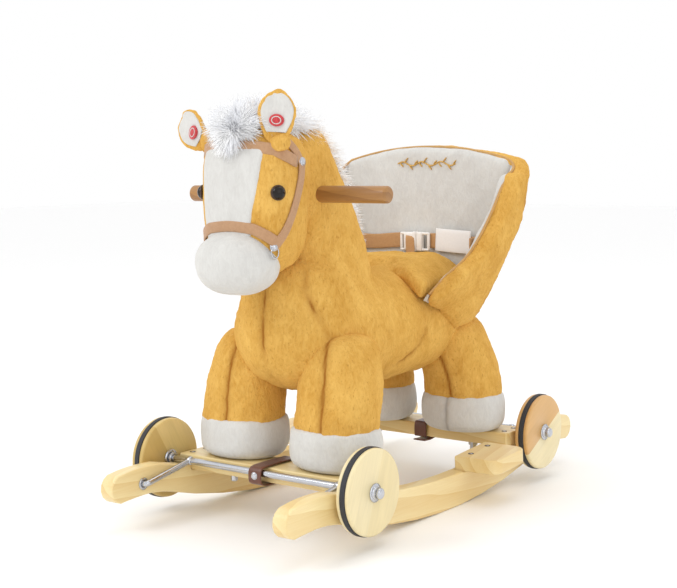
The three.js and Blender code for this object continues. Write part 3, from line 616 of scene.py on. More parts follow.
STEEL, RUBBER, LEATHERETTE = steel(), rubber(), leatherette()
WEBBING = webbing("webbing", srgb(212, 168, 118), srgb(182, 136, 88), 0.0016, 0.8)
TAPE = webbing("tape", srgb(206, 164, 124), srgb(176, 132, 94), 0.0012, 0.6)
PIPING = webbing("piping", srgb(214, 170, 104), srgb(188, 142, 78), 0.0012, 0.7)
GLOSSY = plastic("glossy_black", srgb(18, 14, 13), srgb(30, 20, 16), 0.08, 0.15)
GLOSSY.node_tree.nodes["Principled BSDF"].inputs["Specular IOR Level"].default_value = 0.25
AMBER = plastic("eye_rim", srgb(46, 30, 24), srgb(70, 46, 34), 0.3)
WHITE_PLASTIC = plastic("white_plastic", srgb(246, 244, 241), srgb(236, 233, 229), 0.35)
BLACK_PLASTIC = plastic("black_plastic", srgb(40, 40, 42), srgb(54, 54, 57), 0.6)
PAPER = plastic("label_cloth", srgb(246, 246, 246), srgb(236, 236, 238), 0.8)
# Dark brown: painted shade in the screws' countersunk holes, and the colour of the buckle's two dots.
RECESS_SHADE_AND_DOTS = plastic("recess_shade_and_dots", srgb(74, 52, 34), srgb(52, 36, 24), 0.6)


def thread(name, light, dark):
    """Satin stitches: fine parallel threads with a soft shine."""
    material, tree, shader = new_finish(name, Roughness=0.42, Sheen_Weight=0.3)
    lines = noise(tree, place(tree, (1, 1, 0.15)), 1400, 1.0)
    tree.links.new(mixed(tree, spread(tree, lines, 0.35, 0.65), dark, light), shader.inputs["Base Color"])
    bump(tree, shader, lines, 0.0003, 0.7)
    return material


RED_THREAD = thread("red_thread", srgb(214, 62, 66), srgb(168, 30, 40))
GOLD_THREAD = thread("gold_thread", srgb(222, 180, 86), srgb(176, 128, 44))
print("finishes made:", len(bpy.data.materials))


def dress(piece, material, body, slot, *nodes):
    """Gives a piece its material and its body, and hides the CAD nodes that it stands for. The slot is not
    used.
    """
    if not piece.data.materials:
        piece.data.materials.append(material)
    if nodes:
        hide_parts(*nodes)
    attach(piece, body)
    return piece


# %% [markdown]
# ## The wooden rocker
# The runners, the crossbars and the footrests are sawn boards whose edges were eased with a
# router. The frame's boards are exact but sharp, so each is copied, its loose triangles are
# merged, and a narrow rounded bevel goes along every edge.

# %% Boards with eased edges
EASED = 2.2  # radius of a routed edge


def eased(node_name, material, radius=EASED):
    """A copy of a board whose edges sharper than 35 degrees get a rounded bevel."""
    piece = bpy.data.objects.new(node_name + "_board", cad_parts[node_name].data.copy())
    scene.collection.objects.link(piece)
    piece.data.materials.clear()
    work = bmesh.new()
    work.from_mesh(piece.data)
    bmesh.ops.remove_doubles(work, verts=work.verts, dist=0.02 * MM)
    bmesh.ops.dissolve_limit(work, angle_limit=math.radians(0.6), verts=work.verts, edges=work.edges)
    work.to_mesh(piece.data)
    work.free()
    piece.data.shade_smooth()
    bevel = piece.modifiers.new("eased", "BEVEL")
    bevel.width, bevel.segments, bevel.limit_method = radius * MM, 3, "ANGLE"
    bevel.angle_limit, bevel.use_clamp_overlap = math.radians(35), False
    piece.modifiers.new("even", "WEIGHTED_NORMAL")
    baked(piece)
    return dress(piece, material, "rocker", "pine", node_name)


for side in ("left", "right"):
    eased("runner_" + side, PINE_Y)
    eased("footrest_" + side, PINE_Y)
for end in ("front", "rear"):
    eased(end + "_crossbar", PINE_X, 1.6)
print("six boards eased by", EASED, "mm")

# %% [markdown]
# ## Screws
# Each crossbar is held by two countersunk screws at both ends, and each footrest by two along its inner edge. A
# screw is a steel head at the bottom of a shallow cup, and the cup's dark colour is painted shade in the
# countersunk hole.

# %% Countersunk screws
SCREW = 3.6  # radius of a countersunk head


def screw(place, axis):
    """A cup 0.6 deep with a head inside it, standing a hair above the wood; the cup's dark colour is painted
    shade in the countersunk hole.
    """
    cup_side = [(0, 0.1), (SCREW * 0.55, 0.1), (SCREW * 0.8, 0.25), (SCREW, 0.3), (SCREW, -1), (0, -1)]
    cup = skin("cup", turned(cup_side, place, axis, 24), caps=False)
    # dark brown cup: painted shade in the countersunk hole
    cup.data.materials.append(RECESS_SHADE_AND_DOTS)
    head_side = [(0, 0.5), (SCREW * 0.35, 0.48), (SCREW * 0.6, 0.3), (SCREW * 0.62, -0.5), (0, -0.5)]
    head = skin("head", turned(head_side, place, axis, 20), caps=False)
    head.data.materials.append(STEEL)
    return [cup, head]


def board_screws():
    """Two screws at each end of both crossbars and along both footrests."""
    made = []
    for end in ("front", "rear"):
        low, high = (np.array(corner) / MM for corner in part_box(end + "_crossbar"))
        middle = (low[1] + high[1]) / 2
        for side in (-1, 1):
            for step in (-12, 12):
                made += screw((side * (high[0] - 10), middle + step, high[2]), (0, 0, 1))
    for side in ("left", "right"):
        low, high = (np.array(corner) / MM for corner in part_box("footrest_" + side))
        inner = low[0] + 14 if side == "left" else high[0] - 14
        slope = FOOT_SLOPE
        for step in (-20, 20):
            middle = (low[1] + high[1]) / 2
            level = (low[2] + high[2]) / 2 + FOOT_THICK / 2 / math.cos(slope) + step * math.tan(slope)
            made += screw((inner, middle + step, level), (0, -math.sin(slope), math.cos(slope)))
    return joined("board_screws", made)


FOOT_THICK = 18.5
FOOT_SLOPE = math.atan2(134 / 1970 * 74, 74)
dress(board_screws(), STEEL, "rocker", "steel")
print("twelve screws")

# %% [markdown]
# ## Wheels, tyres and hub caps
# Each wheel is turned from glued planks, with a rubber band let into a groove round its rim.
# A pressed steel cap grips the axle's end over a washer. All are profiles spun round the axle,
# and each wheel's grain runs its own way across its face.

# %% Wheel wood
def wheel_wood(name, upper, lower):
    """Two planks glued along the line v = 0 of the wheel's own face map, each with its grain."""
    material, tree, shader = new_finish(name, Roughness=0.4, Coat_Weight=0.2, Coat_Roughness=0.3)
    face = place(tree, (0.14, 1, 1), "UV")
    grain = noise(tree, face, 90, 3.0, 0.55, 1.0)
    fibres = noise(tree, place(tree, (0.03, 1, 1), "UV"), 900, 2.0)
    most_grain = math_node(tree, "MULTIPLY", grain, 0.7)
    tone = math_node(tree, "ADD", most_grain, math_node(tree, "MULTIPLY", fibres, 0.3))
    darker = spread(tree, tone, 0.3, 0.8)
    across = node(tree, "ShaderNodeSeparateXYZ", {"Vector": place(tree, (1, 1, 1), "UV")}).outputs["Y"]
    glued = math_node(tree, "GREATER_THAN", across, 0.0)
    dim = tuple(c * 0.8 for c in upper)
    dim_lower = tuple(c * 0.84 for c in lower)
    base = mixed(tree, glued, mixed(tree, darker, lower, dim_lower), mixed(tree, darker, upper, dim))
    tree.links.new(base, shader.inputs["Base Color"])
    bump(tree, shader, fibres, 0.0002, 0.3)
    return material


PALE, TAN = srgb(240, 224, 178), srgb(222, 176, 112)
WHEEL_WOOD = {
    "front_left": (wheel_wood("wheel_pale", PALE, srgb(236, 218, 168)), 70),
    "rear_left": (wheel_wood("wheel_two_tone", TAN, PALE), 28),
    "front_right": (wheel_wood("wheel_olive", srgb(226, 200, 134), srgb(206, 176, 106)), -60),
    "rear_right": (wheel_wood("wheel_mixed", srgb(232, 208, 152), srgb(220, 184, 122)), 15),
}


def map_flat(piece, origin, u_axis, v_axis):
    """A UV map in metres: how far each point lies from an origin along two directions."""
    layer = piece.data.uv_layers[0]
    loops = np.zeros(len(piece.data.loops), int)
    piece.data.loops.foreach_get("vertex_index", loops)
    away = (points_of(piece) - origin)[loops]
    layer.data.foreach_set("uv", (np.stack([away @ u_axis, away @ v_axis], -1) * MM).ravel())


def arc_rows(radius, height, turn, start, stop, steps=4):
    """A rounded corner of a profile: (radius + turn cos a, height + turn sin a)."""
    angle = np.radians(np.linspace(start, stop, steps + 1))
    return np.stack([radius + turn * np.cos(angle), height + turn * np.sin(angle)], -1)


TYRE_WIDE, TYRE_DEEP, AXLE = 6.5, 3.5, 4.0


def make_wheel(where):
    """The turned wheel: bore, face, rounded rim, groove and back again, spun round X."""
    low, high = (np.array(corner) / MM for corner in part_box("wheel_" + where))
    centre, radius, half = (low + high) / 2, (high[2] - low[2]) / 2, (high[0] - low[0]) / 2
    bore, edge, groove = AXLE + 0.4, 2.6, TYRE_WIDE / 2 + 0.2
    one = np.vstack([
        [(bore, half - 0.6), (bore + 0.6, half)],
        arc_rows(radius - edge, half - edge, edge, 90, 0),
        [(radius, groove + 0.5), (radius - 0.5, groove), (radius - TYRE_DEEP, groove)],
    ])
    profile = np.vstack([one, one[::-1] * [1, -1], one[:1]])
    piece = skin("wheel_turned_" + where, turned(profile, centre, (1, 0, 0), 96), caps=False)
    material, grain = WHEEL_WOOD[where]
    lean = math.radians(grain)
    along = np.array([0, math.cos(lean), math.sin(lean)])
    across = np.array([0, -math.sin(lean), math.cos(lean)])
    map_flat(piece, centre, along, across)
    body = where + "_wheel"
    dress(piece, material, body, "pine", "wheel_" + where)
    low, high = (np.array(corner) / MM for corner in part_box("tyre_" + where))
    outer = (high[2] - low[2]) / 2
    r, h = 0.9, TYRE_WIDE / 2
    band = np.vstack([
        [(radius - TYRE_DEEP + 0.2, -h)], arc_rows(outer - r, -h + r, r, -90, 0),
        arc_rows(outer - r, h - r, r, 0, 90), [(radius - TYRE_DEEP + 0.2, h), (radius - TYRE_DEEP + 0.2, -h)],
    ])
    tyre = skin("tyre_band_" + where, turned(band, centre, (1, 0, 0), 96), caps=False)
    dress(tyre, RUBBER, body, "rubber", "tyre_" + where)
    return centre, half


def make_hub(where, centre, half):
    """The pressed cap with a flange, a crimped skirt and a dome, and washers on both faces."""
    side = 1 if where.endswith("left") else -1
    low, high = (np.array(corner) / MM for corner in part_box("hub_cap_" + where))
    length, radius = high[0] - low[0], (high[2] - low[2]) / 2
    base = centre + [side * (half + 0.25), 0, 0]
    dome = arc_rows(radius - 4.2, length - 3.4, 3.2, 20, 90, 5)
    profile = np.vstack([
        [(0, 0), (radius, 0), (radius, 1.1), (radius - 0.6, 1.6), (radius - 1.5, 2.2)],
        [(radius - 1.5, length - 4.6), (radius - 1.0, length - 4.0)], dome, [(0, length)],
    ])
    cap = skin("cap", turned(profile, base, (side, 0, 0), 40), caps=False)
    ring = [(AXLE, 0), (10.5, 0), (10.5, 0.8), (AXLE, 0.8), (AXLE, 0)]
    outer = skin("outer", turned(ring, base - [side * 0.2, 0, 0], (side, 0, 0), 40), caps=False)
    inner = skin("inner", turned(ring, centre - [side * (half + 1.2), 0, 0], (side, 0, 0), 40), caps=False)
    collar = [(AXLE, 0), (6.6, 0), (7.2, 1), (6.6, 4), (AXLE, 4.6), (AXLE, 0)]
    hub = skin("hub", turned(collar, centre - [side * (half + 5.6), 0, 0], (side, 0, 0), 32), caps=False)
    for piece in (cap, outer, inner, hub):
        piece.data.materials.append(STEEL)
    whole = joined("hub_" + where, [cap, outer, inner, hub])
    end = where.split("_")[0]
    return dress(whole, STEEL, end + "_bail", "steel", "hub_cap_" + where)


for where in WHEEL_WOOD:
    make_hub(where, *make_wheel(where))
print("four wheels with tyres and caps")

# %% [markdown]
# ## The steel bails
# Each pair of wheels sits on a rod, and two bent arms welded to the rod end in pins that turn
# in the runners. Swinging the bail round brings the wheels under the runners or lifts them
# clear. Tubes are circles carried along a path; the weld is a small bead.

# %% Bails
ARM_RADIUS, BEND = 3.5, 5.5
RUNNER_INNER, PIN_DEPTH = 118.5, 12


def make_bail(end, sign):
    """The rod, both arms with their bend, the weld beads and a washer round each pin."""
    low, high = (np.array(corner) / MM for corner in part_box(end + "_bail"))
    level, knee_level = high[2] - AXLE, low[2] + ARM_RADIUS
    reach, axle_y = high[0], sign * (min(abs(low[1]), abs(high[1])) + AXLE)
    knee_y = sign * (max(abs(low[1]), abs(high[1])) - ARM_RADIUS)
    rod = np.array([(x, axle_y, level) for x in np.linspace(-reach, reach, 60)])
    made = [skin("rod", carried(rod, round_section(AXLE, 28), (0, 0, 1)))]
    for side in (-1, 1):
        arm_x = side * (RUNNER_INNER - BEND)
        start = np.array([arm_x, axle_y, level])
        knee = np.array([arm_x, knee_y, knee_level])
        toward = unit(start - knee)
        t = np.linspace(0, 1, 12)[:, None]
        bend_end = knee + [side * BEND, 0, 0]
        curve = (1 - t) ** 2 * (knee + toward * BEND) + 2 * t * (1 - t) * knee + t**2 * bend_end
        pin = bend_end + np.linspace(0.1, 1, 8)[:, None] * [side * PIN_DEPTH, 0, 0]
        straight = start + np.linspace(0, 0.95, 16)[:, None] * (knee + toward * BEND - start)
        path = np.vstack([straight, curve, pin])
        made.append(skin("arm", carried(path, round_section(ARM_RADIUS, 24), (0.3, 0.2, 1))))
        bead = turned(arc_rows(AXLE - 0.2, 0, 1.6, -90, 90, 6) * [1, 2.6], start, (1, 0, 0), 28)
        made.append(skin("bead", bead, caps=True))
        ring = [(ARM_RADIUS, 0), (7.2, 0), (7.2, 0.9), (ARM_RADIUS + 0.4, 1.3), (ARM_RADIUS, 0)]
        at = knee + [side * (BEND - 1.4), 0, 0]
        made.append(skin("washer", turned(ring, at, (side, 0, 0), 32), caps=False))
    for piece in made:
        piece.data.materials.append(STEEL)
    return dress(joined(end + "_bail_rods", made), STEEL, end + "_bail", "steel", end + "_bail")


for end, sign in (("front", -1), ("rear", 1)):
    make_bail(end, sign)
print("two bails")

# %% [markdown]
# ## The bail straps
# A leatherette strap buttons each rod to its crossbar. It goes over the board, round the rod and back
# underneath, where its rounded end sticks out past a press stud. It is a thin closed section carried round that
# loop.

# %% Straps
def make_strap(end, sign):
    """A loop round crossbar and rod with the loose end below, as one section along a path."""
    low, high = (np.array(corner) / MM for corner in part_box(end + "_strap"))
    x = (low[0] + high[0]) / 2
    near, far = (low[1], high[1]) if sign > 0 else (high[1], low[1])
    bottom, top = low[2] + 1.2, high[2] - 0.6
    inward = -sign
    stations = [
        (x, near + inward * 0.5, bottom + 1.5), (x, near + inward * 1.2, (bottom + top) / 2),
        (x, near + inward * -0.5, top - 1), (x, near - inward * 8, top),
        (x, (near + far) / 2, top + 0.6), (x, far + inward * 9, top), (x, far + inward * 1.4, top - 3),
        (x, far, (bottom + top) / 2), (x, far + inward * 1.6, bottom + 3), (x, far + inward * 10, bottom - 0.4),
        (x, (near + far) / 2 - inward * 8, bottom - 1.2), (x, near - inward * 22, bottom - 2.4),
        (x, near - inward * 10, bottom - 3.6), (x, near + inward * 4, bottom - 3.0),
    ]
    path = through(stations, np.linspace(0, 1, 110))
    piece = skin(end + "_strap_loop", carried(path, flat_section(19, 1.9, 3)[:, ::-1], (1.0, 0, 0)))
    piece.data.materials.append(LEATHERETTE)
    stud = arc_rows(2.6, 0.6, 1.4, 0, 90, 4)
    profile = np.vstack([[(0, -0.8), (4.6, -0.8), (4.6, 0.3), (4.0, 0.8)], stud, [(0, 2.2)]])
    stud_at = (x, far - inward * 0.9, (bottom + top) / 2 + 1)
    cap = skin("stud", turned(profile, stud_at, (0, sign, 0), 28), caps=False)
    cap.data.materials.append(STEEL)
    whole = joined(end + "_strap_leather", [piece, cap])
    dress(whole, LEATHERETTE, "rocker", "leatherette", end + "_strap")
    return whole


for end, sign in (("front", -1), ("rear", 1)):
    make_strap(end, sign)
print("two straps")

# %% [markdown]
# ## How a stuffed piece is made
# A sewn cover full of wadding is tight and smooth, pulled in along its seams, with shallow lumps. So a closed
# form is remeshed into even squares, blown up a little as cloth under pressure, then its seams are pressed in
# and the surface is given small lumps. Each point keeps a number, seam, from 0 to 1, by which the plush paints
# shade into the fold of a seam or a crease.

# %% Stuffing tools
VOXEL = 5.0
STEPS = 20  # frames of cloth simulation


def remeshed(piece, voxel=VOXEL, smoothing=4):
    """Even squares of one size over the whole closed form, with its corners eased."""
    made = piece.modifiers.new("even squares", "REMESH")
    made.mode, made.voxel_size = "VOXEL", voxel * MM
    if smoothing:
        ease = piece.modifiers.new("ease", "SMOOTH")
        ease.factor, ease.iterations = 0.5, smoothing
    return baked(piece)


def inflated(piece, cap, pressure=4.0):
    """The cover as cloth under pressure without gravity for 20 frames; no point moves further
    than the cap, in millimetres."""
    rest = points_of(piece)
    cloth = piece.modifiers.new("cover", "CLOTH")
    cloth.settings.quality = 4
    cloth.settings.mass = 0.3
    cloth.settings.bending_stiffness = 2.0
    cloth.settings.use_pressure = True
    cloth.settings.uniform_pressure_force = pressure
    cloth.settings.effector_weights.gravity = 0
    for frame_number in range(1, STEPS + 1):
        scene.frame_set(frame_number)
    baked(piece)
    scene.frame_set(1)
    moved = points_of(piece) - rest
    length = np.linalg.norm(moved, axis=1, keepdims=True)
    move_points(piece, rest + moved * np.minimum(1, cap / np.maximum(length, 1e-6)))
    return piece


def sewn(piece, seams=(), depth=2.6, width=4.5, lumps=1.0, pile=0.25, seed=1, hold=None):
    """Presses seams in by depth * exp(-(d / width)^2), puckers the cover beside them, adds slow and quick
    ripples along the normal, and stores how close each point is to a seam, which the plush turns into painted
    shade."""
    points, normals = points_of(piece), normals_of(piece)
    near = np.zeros(len(points))
    shift = lumps * (0.9 * ripple(points, 62, seed) + 0.4 * ripple(points, 23, seed + 1))
    shift += pile * ripple(points, 7.5, seed + 2)
    for path in seams:
        d = distance_to(points, path)
        press = np.exp(-(d / width) ** 2)
        pucker = 0.5 * np.exp(-(d / (2.4 * width)) ** 2) * ripple(points, 13, seed + 3)
        shift += pucker - depth * press
        # how much painted shade the plush puts here: strong on the seam's line, faint beside it
        near = np.maximum(near, 0.8 * np.exp(-(d / 1.7) ** 2) + 0.3 * np.exp(-(d / 6) ** 2))
    if hold is not None:
        shift *= hold(points)
    move_points(piece, points + shift[:, None] * normals)
    layer = piece.data.attributes.new("seam", "FLOAT", "POINT")
    layer.data.foreach_set("value", np.clip(near, 0, 1).astype(np.float32))
    return piece


# %% [markdown]
# ## Body and neck
# The trunk is one cover: a barrel and a neck sewn as side panels with a seam down the chest.
# Two rows of rounded sections give both forms; remeshing them together makes the soft
# hollow between neck and back. A crease runs under the jaw where the head bends forward.

# %% Body and neck
BARREL = [
    (0, -186, 229, 20, 18), (0, -181, 229, 38, 34), (0, -166, 228, 61, 53), (0, -130, 225, 81, 71),
    (0, -70, 221, 88, 75), (0, 0, 219, 89, 73), (0, 70, 220, 89, 72), (0, 120, 218, 85, 66),
    (0, 146, 212, 74, 57), (0, 162, 207, 55, 43), (0, 169, 205, 22, 18),
]
NECK = [
    (0, -104, 200, 60, 60), (0, -104, 235, 77, 77), (0, -100, 268, 74, 83), (0, -92, 303, 65, 75),
    (0, -98, 340, 57, 66), (0, -119, 378, 55, 65), (0, -136, 412, 53, 62), (0, -146, 444, 47, 53),
    (0, -150, 458, 33, 37), (0, -151, 463, 14, 16),
]


def mirrored(path):
    """The same path on the horse's other side."""
    return [(-x, y, z) for x, y, z in path]


CHEST_SEAM = [
    (0, -150, 330), (0, -176, 290), (0, -187, 250), (0, -186, 215),
    (0, -168, 178), (0, -130, 156), (0, -60, 146),
]
SIDE_SEAM = [
    (46, -150, 330), (45, -162, 300), (50, -166, 275),
    (58, -158, 250), (68, -150, 225), (76, -140, 208),
]
JAW_CREASE = [(34, -176, 312), (52, -158, 318), (60, -128, 334)]
FLANK_CREASE = [(78, -20, 176), (84, 14, 196), (87, 24, 214)]

trunk = joined("trunk", [
    skin("barrel", stuffed(BARREL, 2.25)),
    skin("neck", stuffed(NECK, 2.1)),
])
remeshed(trunk, VOXEL, 8)
inflated(trunk, 3.0)
finer(trunk)
seams = [CHEST_SEAM, SIDE_SEAM, mirrored(SIDE_SEAM)]
creases = [JAW_CREASE, mirrored(JAW_CREASE), FLANK_CREASE, mirrored(FLANK_CREASE)]
# The creases get the seam number too, so the plush paints shade into them.
sewn(trunk, seams + creases, seed=11)
dress(trunk, GOLD, "rocker", "golden_plush", "body")
print("trunk:", len(trunk.data.vertices), "points")

# %% [markdown]
# ## Legs
# Each leg is a short stuffed tube, wider at the hoof, sewn from two panels, so that a seam
# runs down its front and its back. Where it meets the body its top tucks in, which leaves
# the round seam over the shoulder and the haunch.

# %% Legs
LEGS = {
    "front": [
        (71, -140, 112, 50, 42), (71, -140, 117, 52.5, 43.5),
        (71, -134, 148, 50, 45), (69, -125, 180, 47.5, 45.5),
        (66, -117, 205, 43, 43), (64, -114, 219, 33, 34), (63, -113, 227, 12, 13),
    ],
    "rear": [
        (70, 140, 112, 50, 42), (70, 140, 117, 52.5, 44), (68, 137, 148, 50, 45), (62, 129, 180, 47.5, 45.5),
        (57, 119, 203, 43, 42), (54, 114, 215, 32, 33), (53, 113, 222, 12, 13),
    ],
}


def make_leg(end, side, sign, seed):
    """The tube of one leg, its two panel seams and a few sleeve wrinkles above the hoof."""
    stations = [(sign * x, y, z, a, b) for x, y, z, a, b in LEGS[end]]
    grid = stuffed(stations, 2.2)
    columns = grid.shape[1]
    piece = remeshed(skin(f"plush_leg_{end}_{side}", grid), VOXEL, 2)
    inflated(piece, 2.0)
    finer(piece)
    front = grid[2:-8, int(columns * 0.27)]
    back = grid[2:-8, int(columns * 0.77)]
    sewn(piece, [front, back], depth=1.8, width=3.6, lumps=1.1, seed=seed)
    dress(piece, GOLD, "rocker", "golden_plush", f"leg_{end}_{side}")
    return piece


SIGNS = {"left": 1, "right": -1}
for number, (end, side) in enumerate((e, s) for e in LEGS for s in SIGNS):
    make_leg(end, side, SIGNS[side], 20 + 5 * number)
print("four legs")

# %% [markdown]
# ## Hooves
# The hooves are white short-pile boots, flat where they sit on the crossbar. Their top edge turns in under the
# leg's hem.

# %% Hooves
def make_hoof(end, side, seed):
    """Sections from the sole to the hem, with the seam that joins the wrap's two ends."""
    low, high = (np.array(corner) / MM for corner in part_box(f"hoof_{end}_{side}"))
    middle, half = (low + high) / 2, (high - low) / 2
    x, y, a, b = middle[0], middle[1], half[0], half[1]
    sole, hem = low[2], high[2]
    rows = [
        (x, y, sole, a - 17, b - 17), (x, y, sole + 0.4, a - 12, b - 12), (x, y, sole + 2.5, a - 6.5, b - 6.5),
        (x, y, sole + 7, a - 2, b - 2), (x, y, sole + 15, a + 0.5, b + 0.5), (x, y, hem - 16, a + 1, b + 1),
        (x, y, hem - 4, a - 0.5, b - 0.5), (x, y, hem, a - 2.6, b - 2.6), (x, y, hem + 1.6, a - 7, b - 7),
    ]
    grid = stuffed(rows, 2.2, 96, 44)
    piece = finer(skin(f"plush_hoof_{end}_{side}", grid), 1)

    def free(points):
        return np.clip((points[:, 2] - sole) / 10, 0, 1)

    seam = grid[3:-3, int(96 * (0.27 if end == "front" else 0.75))]
    sewn(piece, [seam], depth=1.2, width=3.0, lumps=0.9, pile=0.1, seed=seed, hold=free)
    dress(piece, WHITE, "rocker", "white_plush", f"hoof_{end}_{side}")


for number, (end, side) in enumerate((e, s) for e in LEGS for s in SIGNS):
    make_hoof(end, side, 60 + 5 * number)
print("four hooves")

# %% [markdown]
# ## The bucket seat
# The seat is a padded wall that bends round in a U and rises from two low wings to a high
# back. Its plan at each level is half width, back and corner radius. The wall's section is a
# rounded slab between a bottom edge and a top edge that both follow the U.

# %% The bucket's plan and edges
FLARE = through([
    (190, 98, 167, 63), (205, 101, 168, 62), (227, 106, 170, 60), (262, 119, 173, 56), (307, 137, 176, 44),
    (345, 147, 179, 33), (399, 157, 181, 25), (450, 160, 182, 22), (470, 160, 182, 22),
], np.linspace(0, 1, 200))
WING = through([
    (10, 253), (14, 257), (54, 282), (94, 304), (122, 344), (141, 388), (154, 441), (160, 470),
], np.linspace(0, 1, 120))
CROWN_RADIUS, CROWN_TOP, WALL, WING_FRONT = 560, 441, 21, 12


def bucket(s, z, inset):
    """A point of the plan at level z, moved in by an inset. s runs along the U from -1 at the
    right wing's front through 0 behind the back to 1: first straight, then round the corner
    by sine and cosine, then straight along the wing."""
    half, back, corner = (np.interp(z, FLARE[:, 0], FLARE[:, k]) for k in (1, 2, 3))
    half, back, corner = half - inset, back - inset, np.maximum(corner - inset, 6)
    straight, turn = half - corner, corner * np.pi / 2
    run = np.abs(s) * (straight + turn + back - corner - WING_FRONT)
    angle = np.clip((run - straight) / corner, 0, np.pi / 2)
    x = np.minimum(run, straight) + corner * np.sin(angle)
    y = back - corner + corner * np.cos(angle) - np.maximum(run - straight - turn, 0)
    return np.stack([np.sign(s) * x, y, z + 0 * x], -1)


def top_edge(s):
    """The wall's top: the lower of the wing's line over y and of the crown's arch over x, with
    the corner between them rounded by -k log(exp(-a / k) + exp(-b / k))."""
    x, y = bucket(s, 399.0 + 0 * s, 0)[:, :2].T
    wing = np.interp(y, WING[:, 0], WING[:, 1])
    reach = np.minimum(np.abs(x), 132)
    crown = CROWN_TOP - CROWN_RADIUS + np.sqrt(CROWN_RADIUS**2 - reach**2)
    crown = crown - np.clip((np.abs(x) - 132) / 26, 0, 1) ** 2 * 22
    k = 5.0
    return -k * np.logaddexp(-wing / k, -crown / k) + 1.5


def bottom_edge(s):
    """The wall's bottom, which rises towards the wings' tips."""
    y = bucket(s, 240.0 + 0 * s, 0)[:, 1]
    return np.interp(y, [12, 58, 104], [250, 236, 210])


def wall_section(low, high, inner, outer, r_out, r_in, steps=8):
    """One ring of (inset, z) round the wall: up the outside, over the top, down the inside."""
    turn = np.linspace(0, np.pi / 2, steps)
    height = high - low
    r_o, r_i = min(r_out, height / 2 - 0.1), min(r_in, height / 2 - 0.1)
    up = np.linspace(low + r_o, high - r_o, 26)[1:-1]
    down = np.linspace(high - r_i, low + r_i, 26)[1:-1]
    return np.vstack([
        np.stack([outer + 0 * up, up], -1),
        np.stack([outer + r_o * (1 - np.cos(turn)), high - r_o + r_o * np.sin(turn)], -1),
        np.stack([inner - r_i * (1 - np.sin(turn)), high - r_i + r_i * np.cos(turn)], -1),
        np.stack([inner + 0 * down, down], -1),
        np.stack([inner - r_i * (1 - np.cos(turn)), low + r_i - r_i * np.sin(turn)], -1),
        np.stack([outer + r_o * (1 - np.sin(turn)), low + r_o - r_o * np.cos(turn)], -1),
    ])


S_STEPS = 260
along_u = np.sin(np.linspace(-np.pi / 2, np.pi / 2, S_STEPS)) * 0.5 + np.linspace(-1, 1, S_STEPS) * 0.5
tops, bottoms = top_edge(along_u), bottom_edge(along_u)
ends = np.clip((1 - np.abs(along_u)) / 0.05, 0.02, 1) ** 0.5
sections = []
for s, low, high, share in zip(along_u, bottoms, tops, ends):
    middle = (low + high) / 2
    foot, crest = middle + (low - middle) * share, middle + (high - middle) * share
    ring = wall_section(foot, crest, WALL * (0.5 + 0.5 * share), WALL * 0.5 * (1 - share), 9, 5)
    rise = np.clip((ring[:, 1] - low) / 30, 0, 1)
    outer_side = np.clip(1 - ring[:, 0] / WALL, 0, 1)
    up = np.clip((ring[:, 1] - low) / max(high - low, 1), 0, 1)
    ring[:, 0] += (9 * (1 - rise) ** 2 - 2.0 * np.sin(np.pi * up)) * outer_side
    sections.append(bucket(np.full(len(ring), s), ring[:, 1], ring[:, 0]))
shell = skin("plush_seat_shell", np.array(sections))
finer(shell)
corner_seams = [bucket(np.full(20, s), np.linspace(225, 395, 20), np.full(20, 0.0)) for s in (-0.5, 0.5)]
sewn(shell, corner_seams, depth=1.6, width=4, lumps=0.9, seed=101)
dress(shell, GOLD, "rocker", "golden_plush", "seat_shell")
print("seat shell:", len(shell.data.vertices), "points")

# %% [markdown]
# ## The saddle cushion
# The cushion fills the bucket between its wings and rolls over at the front. The packed
# solid has the right outline, so a copy of it is merged, remeshed into squares and blown up
# as cloth; the tight cover gives the crown and the rounded front.

# %% Saddle cushion
pad = bpy.data.objects.new("saddle_cushion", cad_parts["seat_pad"].data.copy())
scene.collection.objects.link(pad)
pad.data.materials.clear()
outward(pad, 0.02)
remeshed(pad, VOXEL, 10)
inflated(pad, 6.0)
finer(pad)
spots = points_of(pad)
from_front = spots[:, 1] - spots[:, 1].min()
edge = np.clip(np.abs(spots[:, 0]) / 80, 0, 1) ** 3
spots[:, 0] *= 1 - 0.2 * np.clip((from_front - 10) / 110, 0, 1)
spots[:, 2] -= (3 + 7 * edge) * np.clip((spots[:, 2] - 250) / 40, 0, 1)
move_points(pad, spots)
sewn(pad, lumps=1.0, seed=131)
dress(pad, GOLD, "rocker", "golden_plush", "seat_pad")
print("cushion:", len(pad.data.vertices), "points")

# %% [markdown]
# ## The seat's lining
# White short plush lines the bucket in three panels, sewn at the corners. It is the same U as
# the shell, moved in by the wall, and it ends in a piping along the top edge.

# %% Lining and piping
LINING_THICK, PANEL_SEAM = 4.5, 0.47


def lining_grid():
    """Rings of a thin padded sheet between the wall's inside and the seat, swelling a little
    between the seams: inset = wall + thickness * sin^0.3 of how far it is from a seam."""
    rings = []
    for s, low, high in zip(along_u, bottoms, tops):
        if abs(s) > 0.985:
            continue
        foot = min(max(low + 3, 238), high - 6)
        z = np.linspace(foot, high - 1.6, 40)
        rim = np.clip((high - 1.6 - z) / 5, 0, 1) ** 0.5
        gap = np.clip(np.abs(abs(s) - PANEL_SEAM) / 0.03, 0, 1) ** 0.5
        front = bucket(np.full(40, s), z, WALL + (LINING_THICK * (0.45 + 0.55 * gap)) * (0.35 + 0.65 * rim))
        back = bucket(np.full(40, s), z[::-1], np.full(40, WALL - 1.5))
        rings.append(np.vstack([front, back]))
    return np.array(rings)


